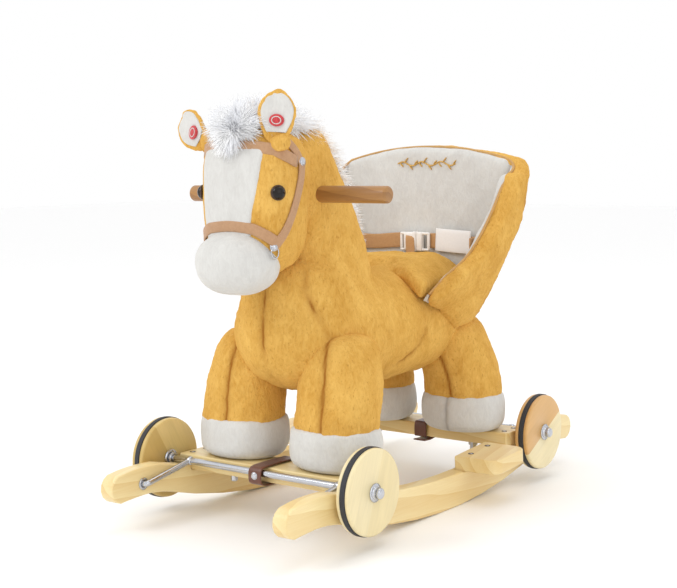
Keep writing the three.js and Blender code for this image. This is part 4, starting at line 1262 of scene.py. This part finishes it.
lining = skin("plush_seat_lining", lining_grid())
finer(lining)
seam_levels, seam_inset = np.linspace(240, 425, 20), np.full(20, WALL + 3.0)
lining_seams = [bucket(np.full(20, s), seam_levels, seam_inset) for s in (-PANEL_SEAM, PANEL_SEAM)]
sewn(lining, lining_seams, depth=0.8, width=2.5, lumps=0.7, pile=0.05, seed=141)
dress(lining, WHITE, "rocker", "white_plush", "seat_lining")

kept = np.abs(along_u) < 0.985
edge_line = bucket(along_u[kept], tops[kept] - 0.8, np.full(kept.sum(), WALL - 1.2))
for _ in range(12):
    edge_line[1:-1] = (edge_line[:-2] + 2 * edge_line[1:-1] + edge_line[2:]) / 4
piping = skin("seat_piping", carried(edge_line, round_section(1.7, 10), (0, 0, 1)))
dress(piping, PIPING, "rocker", "golden_plush")
print("lining and piping")

# %% [markdown]
# ## Embroidery on the back
# A plain gold vine with leaves stands in the middle of the backrest. The stem is a tube
# along a sine wave and each leaf is a pointed satin-stitched lens, all laid on the lining.

# %% Embroidery
def on_back(x, z):
    """The front of the lining at x and z."""
    back = np.interp(z, FLARE[:, 0], FLARE[:, 2])
    return np.stack([x, back - WALL - LINING_THICK - 0.9 + 0 * x, z], -1)


VINE = {"middle": 4.0, "level": 419.0, "half": 46.0, "wave": 2.6, "turns": 3}


def embroidery():
    """The stem z = level + wave * sin(turns * 2 pi t), and a leaf on each crest and trough."""
    t = np.linspace(0, 1, 120)
    x = VINE["middle"] + VINE["half"] * (2 * t - 1)
    z = VINE["level"] + VINE["wave"] * np.sin(2 * np.pi * VINE["turns"] * t)
    made = [skin("stem", carried(on_back(x, z), round_section(1.0, 8), (0, 0, 1)))]
    for k in range(2 * VINE["turns"] * 2):
        share = (k + 0.5) / (4 * VINE["turns"])
        up = 1 if k % 2 else -1
        length = np.linspace(0, 1, 15)
        wide = 2.7 * np.sin(np.pi * length) ** 0.8 * (1.15 - 0.4 * length) + 0.02
        lean = math.radians(52 * up)
        foot_x = VINE["middle"] + VINE["half"] * (2 * share - 1)
        foot_z = VINE["level"] + VINE["wave"] * math.sin(2 * math.pi * VINE["turns"] * share)
        path = on_back(foot_x + 8.2 * length * math.cos(lean), foot_z + 8.2 * length * math.sin(lean))
        ring = round_section(1.0, 12)
        outline = ring[None] * np.stack([0.7 * np.minimum(wide, 1), wide], -1)[:, None]
        made.append(skin("leaf", carried(path, outline, (0, 1.0, 0))))
    return joined("back_embroidery", made)


dress(embroidery(), GOLD_THREAD, "rocker", "golden_plush")
print("embroidery")

# %% [markdown]
# ## The lap belt
# A webbing belt lies round the inside of the bucket, sewn in at the wings, and closes with a white side-release
# buckle. The left half ends at the buckle's plug. A loose tail hangs out of the buckle.

# %% Belt halves
BELT_WIDE, BELT_THICK, BELT_START, BELT_CORNER = 20, 2.0, 96, 24
belt_low, belt_high = (np.array(corner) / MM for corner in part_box("belt_left"))
belt_level = (belt_low[2] + belt_high[2]) / 2
belt_outer, belt_rear = belt_high[0] - BELT_THICK / 2, belt_high[1] - BELT_THICK / 2


def belt_path(side, end):
    """Along the wing, round the corner and across the back, with a slow ripple of its level."""
    turn = np.linspace(0, np.pi / 2, 24)
    wing_y = np.linspace(BELT_START, belt_rear - BELT_CORNER, 30)[:-1]
    back_x = np.linspace(belt_outer - BELT_CORNER, end, 60)[1:]
    x = np.concatenate([belt_outer + 0 * wing_y, belt_outer - BELT_CORNER + BELT_CORNER * np.cos(turn), back_x])
    y = np.concatenate([wing_y, belt_rear - BELT_CORNER + BELT_CORNER * np.sin(turn), belt_rear + 0 * back_x])
    z = belt_level + 1.6 * np.sin(x / 17.0) * np.clip((y - BELT_START) / 40, 0, 1)
    return np.stack([side * x, y, z], -1)


def strap_along(name, path, wide=BELT_WIDE, thick=BELT_THICK, up=(0, 0, 1)):
    """A strap that stands on its edge along a path."""
    return skin(name, carried(path, flat_section(wide, thick)[:, ::-1], up))


plug_low, plug_high = (np.array(corner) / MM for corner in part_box("buckle_plug"))
socket_low, socket_high = (np.array(corner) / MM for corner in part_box("buckle_socket"))
belt_left = strap_along("belt_webbing_left", belt_path(1, plug_high[0] - 3))
belt_left.data.materials.append(WEBBING)
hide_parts("belt_left")
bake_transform(belt_left)
belt_right = strap_along("belt_webbing_right", belt_path(-1, -socket_low[0] - 3))
dress(belt_right, WEBBING, "rocker", "webbing", "belt_right")
hang = np.linspace(0, 1, 30)
tail_path = through([
    (socket_high[0] - 9, belt_rear - 5.5, belt_level + 9), (socket_high[0] - 8, belt_rear - 9, belt_level + 4),
    (socket_high[0] - 7, belt_rear - 10, belt_level - 8), (socket_high[0] - 5, belt_rear - 12, belt_level - 20),
], hang)
loose = skin("belt_loose_end", carried(tail_path, flat_section(13, 1.8)[:, ::-1], (1.0, 0.15, 0)))
dress(loose, WEBBING, "rocker", "webbing")
print("belt level", round(float(belt_level), 1))

# %% Buckle
def rounded_block(name, low, high, radius):
    """A white plastic box whose edges are all rounded, by a bevel."""
    x0, y0, z0 = low
    x1, y1, z1 = high
    corners = [(x, y, z) for z in (z0, z1) for x, y in ((x0, y0), (x1, y0), (x1, y1), (x0, y1))]
    faces = [(0, 3, 2, 1), (4, 5, 6, 7), (0, 1, 5, 4), (1, 2, 6, 5), (2, 3, 7, 6), (3, 0, 4, 7)]
    piece = mesh_object(name, corners, faces)
    bevel = piece.modifiers.new("round", "BEVEL")
    bevel.width, bevel.segments = radius * MM, 4
    baked(piece)
    piece.data.materials.append(WHITE_PLASTIC)
    return piece


def buckle_socket():
    """The female half: a rounded shell with two side windows, a raised rim and a web bar."""
    low, high = socket_low, socket_high
    mid_y, mid_z = (low[1] + high[1]) / 2, (low[2] + high[2]) / 2
    bottom, top = low[2] + 1, high[2] - 1
    shell_block = rounded_block("shell", (low[0] + 7, low[1], bottom), (high[0], high[1] - 0.2, top), 2.6)
    rim = rounded_block("rim", (high[0] - 5, low[1] - 0.6, low[2]), high, 1.6)
    bar_end = rounded_block("bar", (low[0], mid_y - 2, bottom), (low[0] + 4, mid_y + 2, top), 1.8)
    arms = [
        rounded_block("arm", (low[0] + 1, mid_y - 2.4, z), (low[0] + 9, mid_y + 2.4, z + 3.4), 1.4)
        for z in (bottom, high[2] - 4.4)
    ]
    # Two small dots in the same dark brown as the painted recess shade.
    dot_side = [(0, 0.5), (1.2, 0.4), (1.5, 0), (1.5, -1), (0, -1)]
    dots = [
        skin("dot", turned(dot_side, (low[0] + 13 + 6 * k, low[1] - 0.2, mid_z), (0, -1, 0), 16), caps=False)
        for k in range(2)
    ]
    for dot in dots:
        dot.data.materials.append(RECESS_SHADE_AND_DOTS)
    return joined("buckle_socket_body", [shell_block, rim, bar_end, *arms, *dots])


def buckle_plug():
    """The male half: a body with a web bar, a guide tongue and two springy prongs."""
    low, high = plug_low, plug_high
    mid_y, mid_z = (low[1] + high[1]) / 2, (low[2] + high[2]) / 2
    start, bottom, top = socket_high[0] + 0.3, low[2] + 1, high[2] - 1
    base_high = (start + 9, high[1] - 0.3, high[2] - 0.5)
    base = rounded_block("base", (start, low[1] + 0.3, low[2] + 0.5), base_high, 2.2)
    bar_end = rounded_block("bar", (high[0] - 4, mid_y - 2, bottom), (high[0], mid_y + 2, top), 1.8)
    arms = [
        rounded_block("arm", (start + 5, mid_y - 2.4, z), (high[0] - 1, mid_y + 2.4, z + 3.4), 1.4)
        for z in (bottom, high[2] - 4.4)
    ]
    tongue_high = (start + 2, mid_y + 1.4, mid_z + 2)
    tongue = rounded_block("tongue", (low[0], mid_y - 1.4, mid_z - 2), tongue_high, 1)
    prongs = [
        rounded_block("prong", (low[0], mid_y - 1.8, z - 1.6), (start + 2, mid_y + 1.8, z + 1.6), 1.2)
        for z in (mid_z - 7, mid_z + 7)
    ]
    return joined("buckle_plug_body", [base, bar_end, *arms, tongue, *prongs])


dress(buckle_socket(), WHITE_PLASTIC, "rocker", "white_plastic", "buckle_socket")
dress(buckle_plug(), WHITE_PLASTIC, "belt_end", "white_plastic", "buckle_plug")
print("buckle")

# %% Care label
LABEL = {"x": 52.0, "half": 27.0, "level": 317.0, "tall": 30.0}


def care_label():
    """A blank woven label sewn over the belt: a thin sheet that bows out a little."""
    t = np.linspace(-1, 1, 24)
    y = belt_rear - BELT_THICK / 2 - 1.4 - 1.6 * (1 - t**2)
    path = np.stack([LABEL["x"] + LABEL["half"] * t, y, LABEL["level"] - 1.5 * t], -1)
    return skin("care_label", carried(path, flat_section(LABEL["tall"], 0.8)[:, ::-1], (0, 0, 1)))


label = dress(care_label(), PAPER, "rocker", "white_plush")
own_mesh(label)
print("label")

# %% [markdown]
# ## The head
# The head is a tall rounded box, firm with wadding. Its section at each level is a
# superellipse, so any point of its skin can be worked out from a level and an angle or from
# a level and a distance. The face panel, the straps and the eyes are all laid on that skin.

# %% Head form
HEAD_POWER = 3.2
HEAD = [
    (0, -194, 299, 20, 12), (0, -194, 301, 32, 22), (0, -195, 308, 43, 31),
    (0, -195, 326, 53, 39), (0, -194, 352, 58, 42), (0, -193, 385, 60, 43),
    (0, -192, 425, 59, 42), (0, -190, 450, 51, 36), (0, -188, 460, 36, 26), (0, -187, 464, 20, 14),
]
HEAD_TABLE = through(HEAD, np.linspace(0, 1, 300))


def head_at(z):
    """The section's middle y, half width and half depth at a level."""
    return (np.interp(z, HEAD_TABLE[:, 2], HEAD_TABLE[:, k]) for k in (1, 3, 4))


def face(x, z, lift=0.0):
    """The skin's point at x and z: y = middle - depth * (1 - |x / width|^p)^(1 / p)."""
    x, z = np.broadcast_arrays(np.asarray(x, float), np.asarray(z, float))
    middle, wide, deep = head_at(z)
    share = np.clip(1 - np.abs(x / (wide + lift)) ** HEAD_POWER, 0, 1) ** (1 / HEAD_POWER)
    return np.stack([x, middle - (deep + lift) * share, z], -1)


def cheek(y, z, lift=0.0, side=1):
    """The skin's point at y and z on one side."""
    y, z = np.broadcast_arrays(np.asarray(y, float), np.asarray(z, float))
    middle, wide, deep = head_at(z)
    share = np.clip(1 - np.abs((y - middle) / (deep + lift)) ** HEAD_POWER, 0, 1) ** (1 / HEAD_POWER)
    return np.stack([side * (wide + lift) * share, y, z], -1)


def head_out(points):
    """The direction out of the skin: (|x/w|^(p-1) / w, |y/d|^(p-1) / d) with the signs of x, y."""
    middle, wide, deep = head_at(points[:, 2])
    dx, dy = points[:, 0] / wide, (points[:, 1] - middle) / deep
    q = HEAD_POWER - 1
    out = np.stack([np.sign(dx) * np.abs(dx) ** q / wide, np.sign(dy) * np.abs(dy) ** q / deep, 0 * dx], -1)
    return unit(out)


head = skin("plush_head", stuffed(HEAD, HEAD_POWER, 128, 110))
sewn(head, lumps=0.35, pile=0.12, seed=151)
dress(head, GOLD, "rocker", "golden_plush", "head")
print("head:", len(head.data.vertices), "points")

# %% [markdown]
# ## Face panel and muzzle
# The white blaze is a panel let into the face: a patch of the head's skin that stands up
# slightly and dives under at its edges. The muzzle is a soft white ball, a little squarer
# than round.

# %% Blaze
BLAZE = through([
    (444, -42, 41), (436, -46, 42), (415, -47, 40), (392, -46, 36),
    (370, -44, 31), (350, -41, 28), (330, -38, 28),
], np.linspace(0, 1, 60))


def blaze():
    """A patch of the skin between two edges x(z), lifted by 1.9 and sunk by 1.5 at its rim."""
    u = np.linspace(-1, 1, 65)
    lift = 1.9 - 3.4 * np.abs(u) ** 24
    rings = []
    for z, first, last in BLAZE:
        line = face(first + (last - first) * (u + 1) / 2, z)
        out = head_out(line)
        rings.append(np.vstack([line + out * lift[:, None], (line - out * 2.5)[::-1]]))
    return skin("face_blaze", np.array(rings[::-1]))


panel = blaze()
sewn(panel, lumps=0.15, pile=0.03, seed=161)
dress(panel, WHITE, "rocker", "white_plush")
print("blaze")

# %% Muzzle
muzzle_low, muzzle_high = (np.array(corner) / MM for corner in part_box("muzzle"))
muzzle_middle, muzzle_half = (muzzle_low + muzzle_high) / 2, (muzzle_high - muzzle_low) / 2


def muzzle():
    """A ball with powers: x = a cos* u cos* v, y = b sin* u cos* v, z = c sin* v."""
    v = np.linspace(-np.pi / 2 + 0.02, np.pi / 2 - 0.02, 90)
    u = np.arange(128) / 128 * 2 * np.pi
    cv, sv = superellipse(v, 2.25)
    cu, su = superellipse(u, 2.3)
    a, b, c = muzzle_half
    x = a * cv[:, None] * cu
    y = b * cv[:, None] * su
    z = c * sv[:, None] + 0 * cu
    grid = np.stack([x, y, z], -1) + muzzle_middle
    return skin("plush_muzzle", grid)


ball = muzzle()
sewn(ball, lumps=0.5, pile=0.05, seed=171)
dress(ball, WHITE, "rocker", "white_plush", "muzzle")
print("muzzle")

# %% [markdown]
# ## Eyes
# Safety eyes are moulded glossy domes. A dark brown rim shows round each dome.

# %% Eyes
EYE_RADIUS, EYE_PROUD, EYE_TURN = 8.6, 6.0, 62


def make_eye(side, sign):
    """The dome and its collar, turned round the eye's own axis."""
    lean = math.radians(EYE_TURN)
    axis = np.array([sign * math.sin(lean), -math.cos(lean), 0])
    centre = np.array([sign * EYE_AT[0], EYE_AT[1], EYE_AT[2]])
    turn = np.linspace(0, np.pi / 2, 14)
    dome = np.stack([(EYE_RADIUS - 1.1) * np.cos(turn), 0.6 + (EYE_PROUD - 0.6) * np.sin(turn)], -1)
    ball_side = np.vstack([[(0, -1), (EYE_RADIUS - 1.1, -1)], dome])
    ball = skin("dome", turned(ball_side, centre, axis, 48), caps=False)
    ball.data.materials.append(GLOSSY)
    drops = [(2, -1.5), (0, -1.5), (0, 0.6), (0.5, 1.3), (1.2, 1.5), (2, 1.2), (2, -1.5)]
    ring = [(EYE_RADIUS - drop, height) for drop, height in drops]
    rim = skin("rim", turned(ring, centre, axis, 48), caps=False)
    rim.data.materials.append(AMBER)
    return dress(joined("glossy_eye_" + side, [ball, rim]), GLOSSY, "rocker", "glossy_black", "eye_" + side)


EYE_AT = (56.2, -220.5, 391.0)
for side, sign in SIGNS.items():
    make_eye(side, sign)
print("two eyes")

# %% [markdown]
# ## The bridle
# Tan ribbed tape runs round the head: a brow band, a nose band, and a cheek strap on each side
# that joins them, with a domed rivet above and a wire ring below. Each tape is a flat section
# carried along a line on the head's skin, turned to face out of it.

# %% Bridle
TAPE_WIDE, TAPE_THICK, TAPE_LIFT = 12.5, 2.0, 1.6
RIVET = (-184, 424)
RING = (-222, 331)


def tape(name, line, wide=TAPE_WIDE):
    """A tape along a line of points on the skin."""
    out = head_out(line)
    return skin(name, carried(line + out * TAPE_LIFT, flat_section(wide, TAPE_THICK), out))


def round_head(levels, start_y):
    """A line round the front of the head from one side to the other, with its level given over
    how far it has gone round, by mirrored numbers."""
    angle = np.linspace(0, np.pi, 160)
    c, s = superellipse(angle, HEAD_POWER)
    z = np.interp(np.abs(angle - np.pi / 2), levels[0], levels[1])
    middle, wide, deep = head_at(z)
    line = np.stack([wide * c, middle - deep * s, z], -1)
    keep = line[:, 1] < start_y
    return line[keep]


brow = tape("brow", round_head(((0, 0.5, 1.0, 1.45, 1.6), (442, 441, 438, 429, 424)), RIVET[0] - 2), 13)
nose = tape("nose", round_head(((0, 0.4, 0.8, 1.1, 1.6), (354, 351, 343, 336, 329)), RING[0] + 3), 12.5)
straps = [brow, nose]
hardware = []
for sign in (1, -1):
    t = np.linspace(0, 1, 70)
    side_line = through([(RIVET[0] + 1, RIVET[1] + 4), (-187, 405), (-196, 380), (-209, 352), RING], t)
    straps.append(tape("cheek", cheek(side_line[:, 0], side_line[:, 1], 0, sign), 10.5))
    crown_line = through([(RIVET[0] + 1, RIVET[1] - 5), (-192, 436), (-203, 449)], t)
    straps.append(tape("crown", cheek(crown_line[:, 0], crown_line[:, 1], 0.6, sign), 10))
    for (y, z), radius in ((RIVET, 4.4), (RING, 3.2)):
        spot = cheek(np.array([y]), np.array([z]), 0, sign)
        out = head_out(spot)[0]
        turn = np.linspace(0, np.pi / 2, 8)
        dome = np.stack([radius * np.cos(turn), 0.3 + 1.6 * np.sin(turn)], -1)
        profile = np.vstack([[(0, -1), (radius + 1.2, -1), (radius + 1.2, 0.2), (radius, 0.5)], dome])
        hardware.append(skin("rivet", turned(profile, spot[0] + out * (TAPE_LIFT + 1.2), out, 28), caps=False))
    ring_spot = cheek(np.array([RING[0] + 2]), np.array([RING[1] - 6]), 0, sign)
    out = head_out(ring_spot)[0]
    turn = np.linspace(0, 2 * np.pi, 48, endpoint=False)
    u, v = np.array([0, 1.0, 0]), np.array([0, 0, 1.0])
    loop = ring_spot[0] + out * 4 + 6.2 * (np.cos(turn)[:, None] * u + np.sin(turn)[:, None] * v)
    around = round_section(1.1, 10)
    radial = unit(loop - loop.mean(0))
    grid = loop[:, None] + around[:, :1] * radial[:, None] + around[:, 1:] * out
    hardware.append(skin("wire", grid, caps=False, round_rows=True))
for piece in straps:
    piece.data.materials.append(TAPE)
for piece in hardware:
    piece.data.materials.append(STEEL)
dress(joined("bridle_tapes", straps), TAPE, "rocker", "tape", "bridle")
dress(joined("bridle_hardware", hardware), STEEL, "rocker", "steel")
print("bridle:", len(straps), "tapes and", len(hardware), "fittings")

# %% [markdown]
# ## Ears
# An ear is a cupped leaf of golden plush with a white panel inside it. The left ear stands up
# and the right one flops outwards. The outline is a half width over the height, and the cup
# brings both edges forward by the square of the distance from the middle. Inside each ear is
# a stitched red badge over a press switch.

# %% Ears
EAR = {"tall": 58.0, "wide": 44.0, "across": 51.0, "y": -215.0, "level": 446.0}
EAR_POSE = {"left": (4, 24), "right": (56, -10)}
BADGE_LEVEL = 24.0
CUFF = [
    (4, -1, -8, 6, 3), (4, -2, -6, 10, 5), (4, -3, -1, 12, 5.2),
    (5, -3.5, 4, 11, 4.4), (7, -3.5, 8, 7, 3), (8, -3.5, 10, 3, 1.5),
]


def ear_half(share):
    """Half width over the share of the height."""
    rows = [(0.0, 0.2), (0.16, 0.34), (0.4, 0.47), (0.62, 0.49), (0.82, 0.36), (0.95, 0.16), (1.0, 0.04)]
    return np.interp(share, *through(rows, np.linspace(0, 1, 60)).T)


def on_head(points, side):
    """Turns an ear's own points by its tilt about Y and then its turn about Z, and puts them on
    the head."""
    sign = SIGNS[side]
    tilt, turn = (math.radians(a) for a in EAR_POSE[side])
    tilt *= sign
    x = points[..., 0] * math.cos(tilt) + points[..., 2] * math.sin(tilt)
    z = -points[..., 0] * math.sin(tilt) + points[..., 2] * math.cos(tilt)
    y = points[..., 1]
    c, s = math.cos(turn), math.sin(turn)
    return np.stack([x * c - y * s, x * s + y * c, z], -1) + [sign * EAR["across"], EAR["y"], EAR["level"]]


def leaf_grid(scale, front, back, start, cup=5.0):
    """Rings across the leaf: front and back faces y = front or back, closing at the edges by a
    power, both cupped by -cup * (x / half)^2."""
    share = np.linspace(start, 1, 60)
    angle = np.arange(56) / 56 * 2 * np.pi
    c, s = superellipse(angle, 2.6)
    half = EAR["wide"] * ear_half(share) * scale
    x = half[:, None] * c
    fade = np.clip((1 - share) / 0.12, 0.05, 1)[:, None] ** 0.5
    y = np.where(s > 0, s * back, -s * front) * fade - cup * (c**2) * np.minimum(1, half / 12)[:, None]
    if scale < 1:
        share = 1 - (1 - share) * scale - 2.0 / EAR["tall"]
    z = EAR["tall"] * share[:, None] + 0 * c
    return np.stack([x, y, z], -1)


def make_ear(side, seed):
    """The golden leaf, its white panel and the badge."""
    leaf = joined("plush_ear_" + side, [
        skin("leaf", on_head(leaf_grid(1.0, -3.4, 4.6, -0.12), side)),
        skin("cuff", on_head(stuffed(CUFF, 2.2, 48, 24), side)),
    ])
    sewn(leaf, lumps=0.4, seed=seed)
    dress(leaf, GOLD, "rocker", "golden_plush", "ear_" + side)
    inner = skin("ear_panel_" + side, on_head(leaf_grid(0.86, -4.4, -1.0, 0.1), side))
    sewn(inner, lumps=0.2, pile=0.05, seed=seed + 4)
    dress(inner, WHITE, "rocker", "white_plush")
    turn = np.linspace(0, np.pi / 2, 10)
    dome = np.stack([8.4 * np.cos(turn), 6.7 + 0.8 * np.sin(turn)], -1)
    grid = turned(np.vstack([[(0, 2), (8.4, 2)], dome]), (0, 0, 0), (0, -1, 0), 48)
    grid[..., 2] *= 0.8
    badge = skin("badge", on_head(grid + [0, 0, BADGE_LEVEL], side), caps=False)
    badge.data.materials.append(RED_THREAD)
    ring = np.linspace(0, 2 * np.pi, 48, endpoint=False)
    loop = np.stack([5.2 * np.cos(ring), -7.4 + 0 * ring, BADGE_LEVEL + 4.0 * np.sin(ring)], -1)
    around = round_section(0.5, 8)
    radial = unit(loop - loop.mean(0))
    stitches = loop[:, None] + around[:, :1] * radial[:, None] + around[:, 1:] * [0, 1.0, 0]
    border = skin("border", on_head(stitches, side), caps=False, round_rows=True)
    border.data.materials.append(WHITE)
    whole = joined("ear_badge_" + side, [badge, border])
    dress(whole, RED_THREAD, side + "_ear_button", "red_thread", "ear_button_" + side)


make_ear("left", 181)
make_ear("right", 191)
print("two ears with badges")

# %% [markdown]
# ## Mane and tail
# The mane is long white pile. Every strand is a thin ribbon of three quads that tapers to a
# point, rooted on a hidden core and bent by gravity and by slow noise so that strands gather
# in locks. All strands are worked out at once as one array.

# %% Fur strands
MANE = [
    (0, -235, 457, 3, 3), (0, -232, 458, 10, 7), (0, -226, 463, 24, 12), (0, -205, 468, 31, 15),
    (0, -168, 469, 31, 15), (0, -128, 458, 27, 15), (0, -92, 430, 23, 14), (0, -64, 392, 20, 13),
    (0, -45, 354, 16, 12), (0, -33, 328, 9, 8), (0, -29, 320, 4, 4),
]
TAIL = [
    (0, 172, 287, 6, 6), (0, 183, 290, 9, 9), (0, 200, 279, 13, 12),
    (0, 209, 250, 15, 13), (0, 206, 214, 12, 10), (0, 198, 186, 7, 6), (0, 194, 176, 3, 3),
]


def strands(name, stations, count, length, lean, droop, seed, width=1.5):
    """Ribbons from random places on a core: point(t) = root + length * t * direction + droop *
    t^2 * down + a sideways wave, half width = width / 2 * (1 - t)^0.7, for t = 0, 1/3, 2/3, 1."""
    draw = np.random.default_rng(seed)
    t = draw.uniform(0.0, 1, count)
    angle = draw.uniform(0, 2 * np.pi, count)
    rows = through(stations, t)
    near = through(stations, np.clip(t + 0.01, 0, 1)) - through(stations, np.clip(t - 0.01, 0, 1))
    tangent = unit(near[:, :3])
    depth = unit(np.cross(tangent, [1.0, 0, 0]))
    across = np.array([1.0, 0, 0])
    beside, behind = np.cos(angle)[:, None] * across, np.sin(angle)[:, None] * depth
    out = beside + behind
    root = rows[:, :3] + rows[:, 3:4] * beside + rows[:, 4:5] * behind
    locks = np.stack([ripple(root, 16, seed + k) for k in range(3)], -1)
    ahead = -0.7 * np.clip(1 - t / 0.1, 0, 1)[:, None] * tangent
    direction = unit(out + ahead + lean * tangent + 0.45 * locks + draw.normal(0, 0.22, (count, 3)))
    reach = length * draw.uniform(0.6, 1.15, count)[:, None]
    side = unit(np.cross(direction, draw.normal(size=(count, 3)))) * width / 2
    bend = np.cross(direction, side) * draw.normal(0, 1.6, (count, 1))
    levels = []
    for share in (0, 1 / 3, 2 / 3, 1):
        line = root + reach * share * direction + share**2 * (droop * np.array([0, 0, -1.0]) + bend * 2.2)
        thick = max((1 - share) ** 0.7, 0.06)
        levels += [line - side * thick, line + side * thick]
    points = np.stack(levels, 1).reshape(-1, 3)
    base = np.arange(count)[:, None] * 8
    quads = np.concatenate([base + np.array([2 * k, 2 * k + 1, 2 * k + 3, 2 * k + 2]) for k in range(3)])
    piece = mesh_object(name, points, quads.tolist())
    return piece


def furry(name, stations, count, length, lean, droop, seed, node_name):
    """A core that closes the gaps between strands, and the strands."""
    core = skin("core", stuffed(stations, 2.0, 48, 60))
    core.data.materials.append(FUR)
    hair = strands("hair", stations, count, length, lean, droop, seed)
    hair.data.materials.append(FUR)
    return dress(joined(name, [core, hair]), FUR, "rocker", "fur", node_name)


furry("fur_mane", MANE, 17000, 22, 0.15, 4, 201, "mane")
furry("fur_tail", TAIL, 5000, 20, 0.9, 6, 231, "tail")
print("mane and tail")

# %% [markdown]
# ## The handle and the hidden frame
# The handle is a turned hardwood bar with softly rounded ends. The plywood frame, the neck
# post and the sound box are inside the plush; they only need a plain finish.

# %% Handle and hidden pieces
low, high = (np.array(corner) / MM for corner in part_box("handle_bar"))
centre, radius, half = (low + high) / 2, (high[2] - low[2]) / 2, (high[0] - low[0]) / 2
ROUND_END = 3.2
rod_side = np.stack([np.full(40, radius), np.linspace(-half + ROUND_END, half - ROUND_END, 40)], -1)
right_end = arc_rows(radius - ROUND_END, half - ROUND_END, ROUND_END, 0, 90, 6)[1:]
profile = np.vstack([[(0, -half)], right_end[::-1] * [1, -1], rod_side, right_end, [(0, half)]])
handle = skin("turned_handle", turned(profile, centre, (1, 0, 0), 64), caps=False)
dress(handle, BEECH, "rocker", "beech", "handle_bar")

HIDDEN = {
    "front_leg_frame": BOARD, "rear_leg_frame": BOARD, "seat_board": BOARD, "neck_post": BOARD,
    "back_board": BOARD, "sound_box": BLACK_PLASTIC,
}
for end in ("front", "rear"):
    for side in SIGNS:
        HIDDEN[f"leg_bolt_{end}_{side}"] = STEEL
for name, material in HIDDEN.items():
    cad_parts[name].data.materials.clear()
    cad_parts[name].data.materials.append(material)
print("handle and", len(HIDDEN), "plain pieces")

# %% [markdown]
# ## The floor
# A wide pale square, which isn't part of the object.

# %% Floor
FLOOR = 9000
floor_corners = [(-FLOOR, -FLOOR, 0), (FLOOR, -FLOOR, 0), (FLOOR, FLOOR, 0), (-FLOOR, FLOOR, 0)]
floor = mesh_object("floor", floor_corners, [(0, 1, 2, 3)])
floor_material, tree, shader = new_finish("pale_floor", Roughness=0.6)
shader.inputs["Base Color"].default_value = (0.98, 0.98, 0.98, 1)
floor.data.materials.append(floor_material)
print("floor laid")
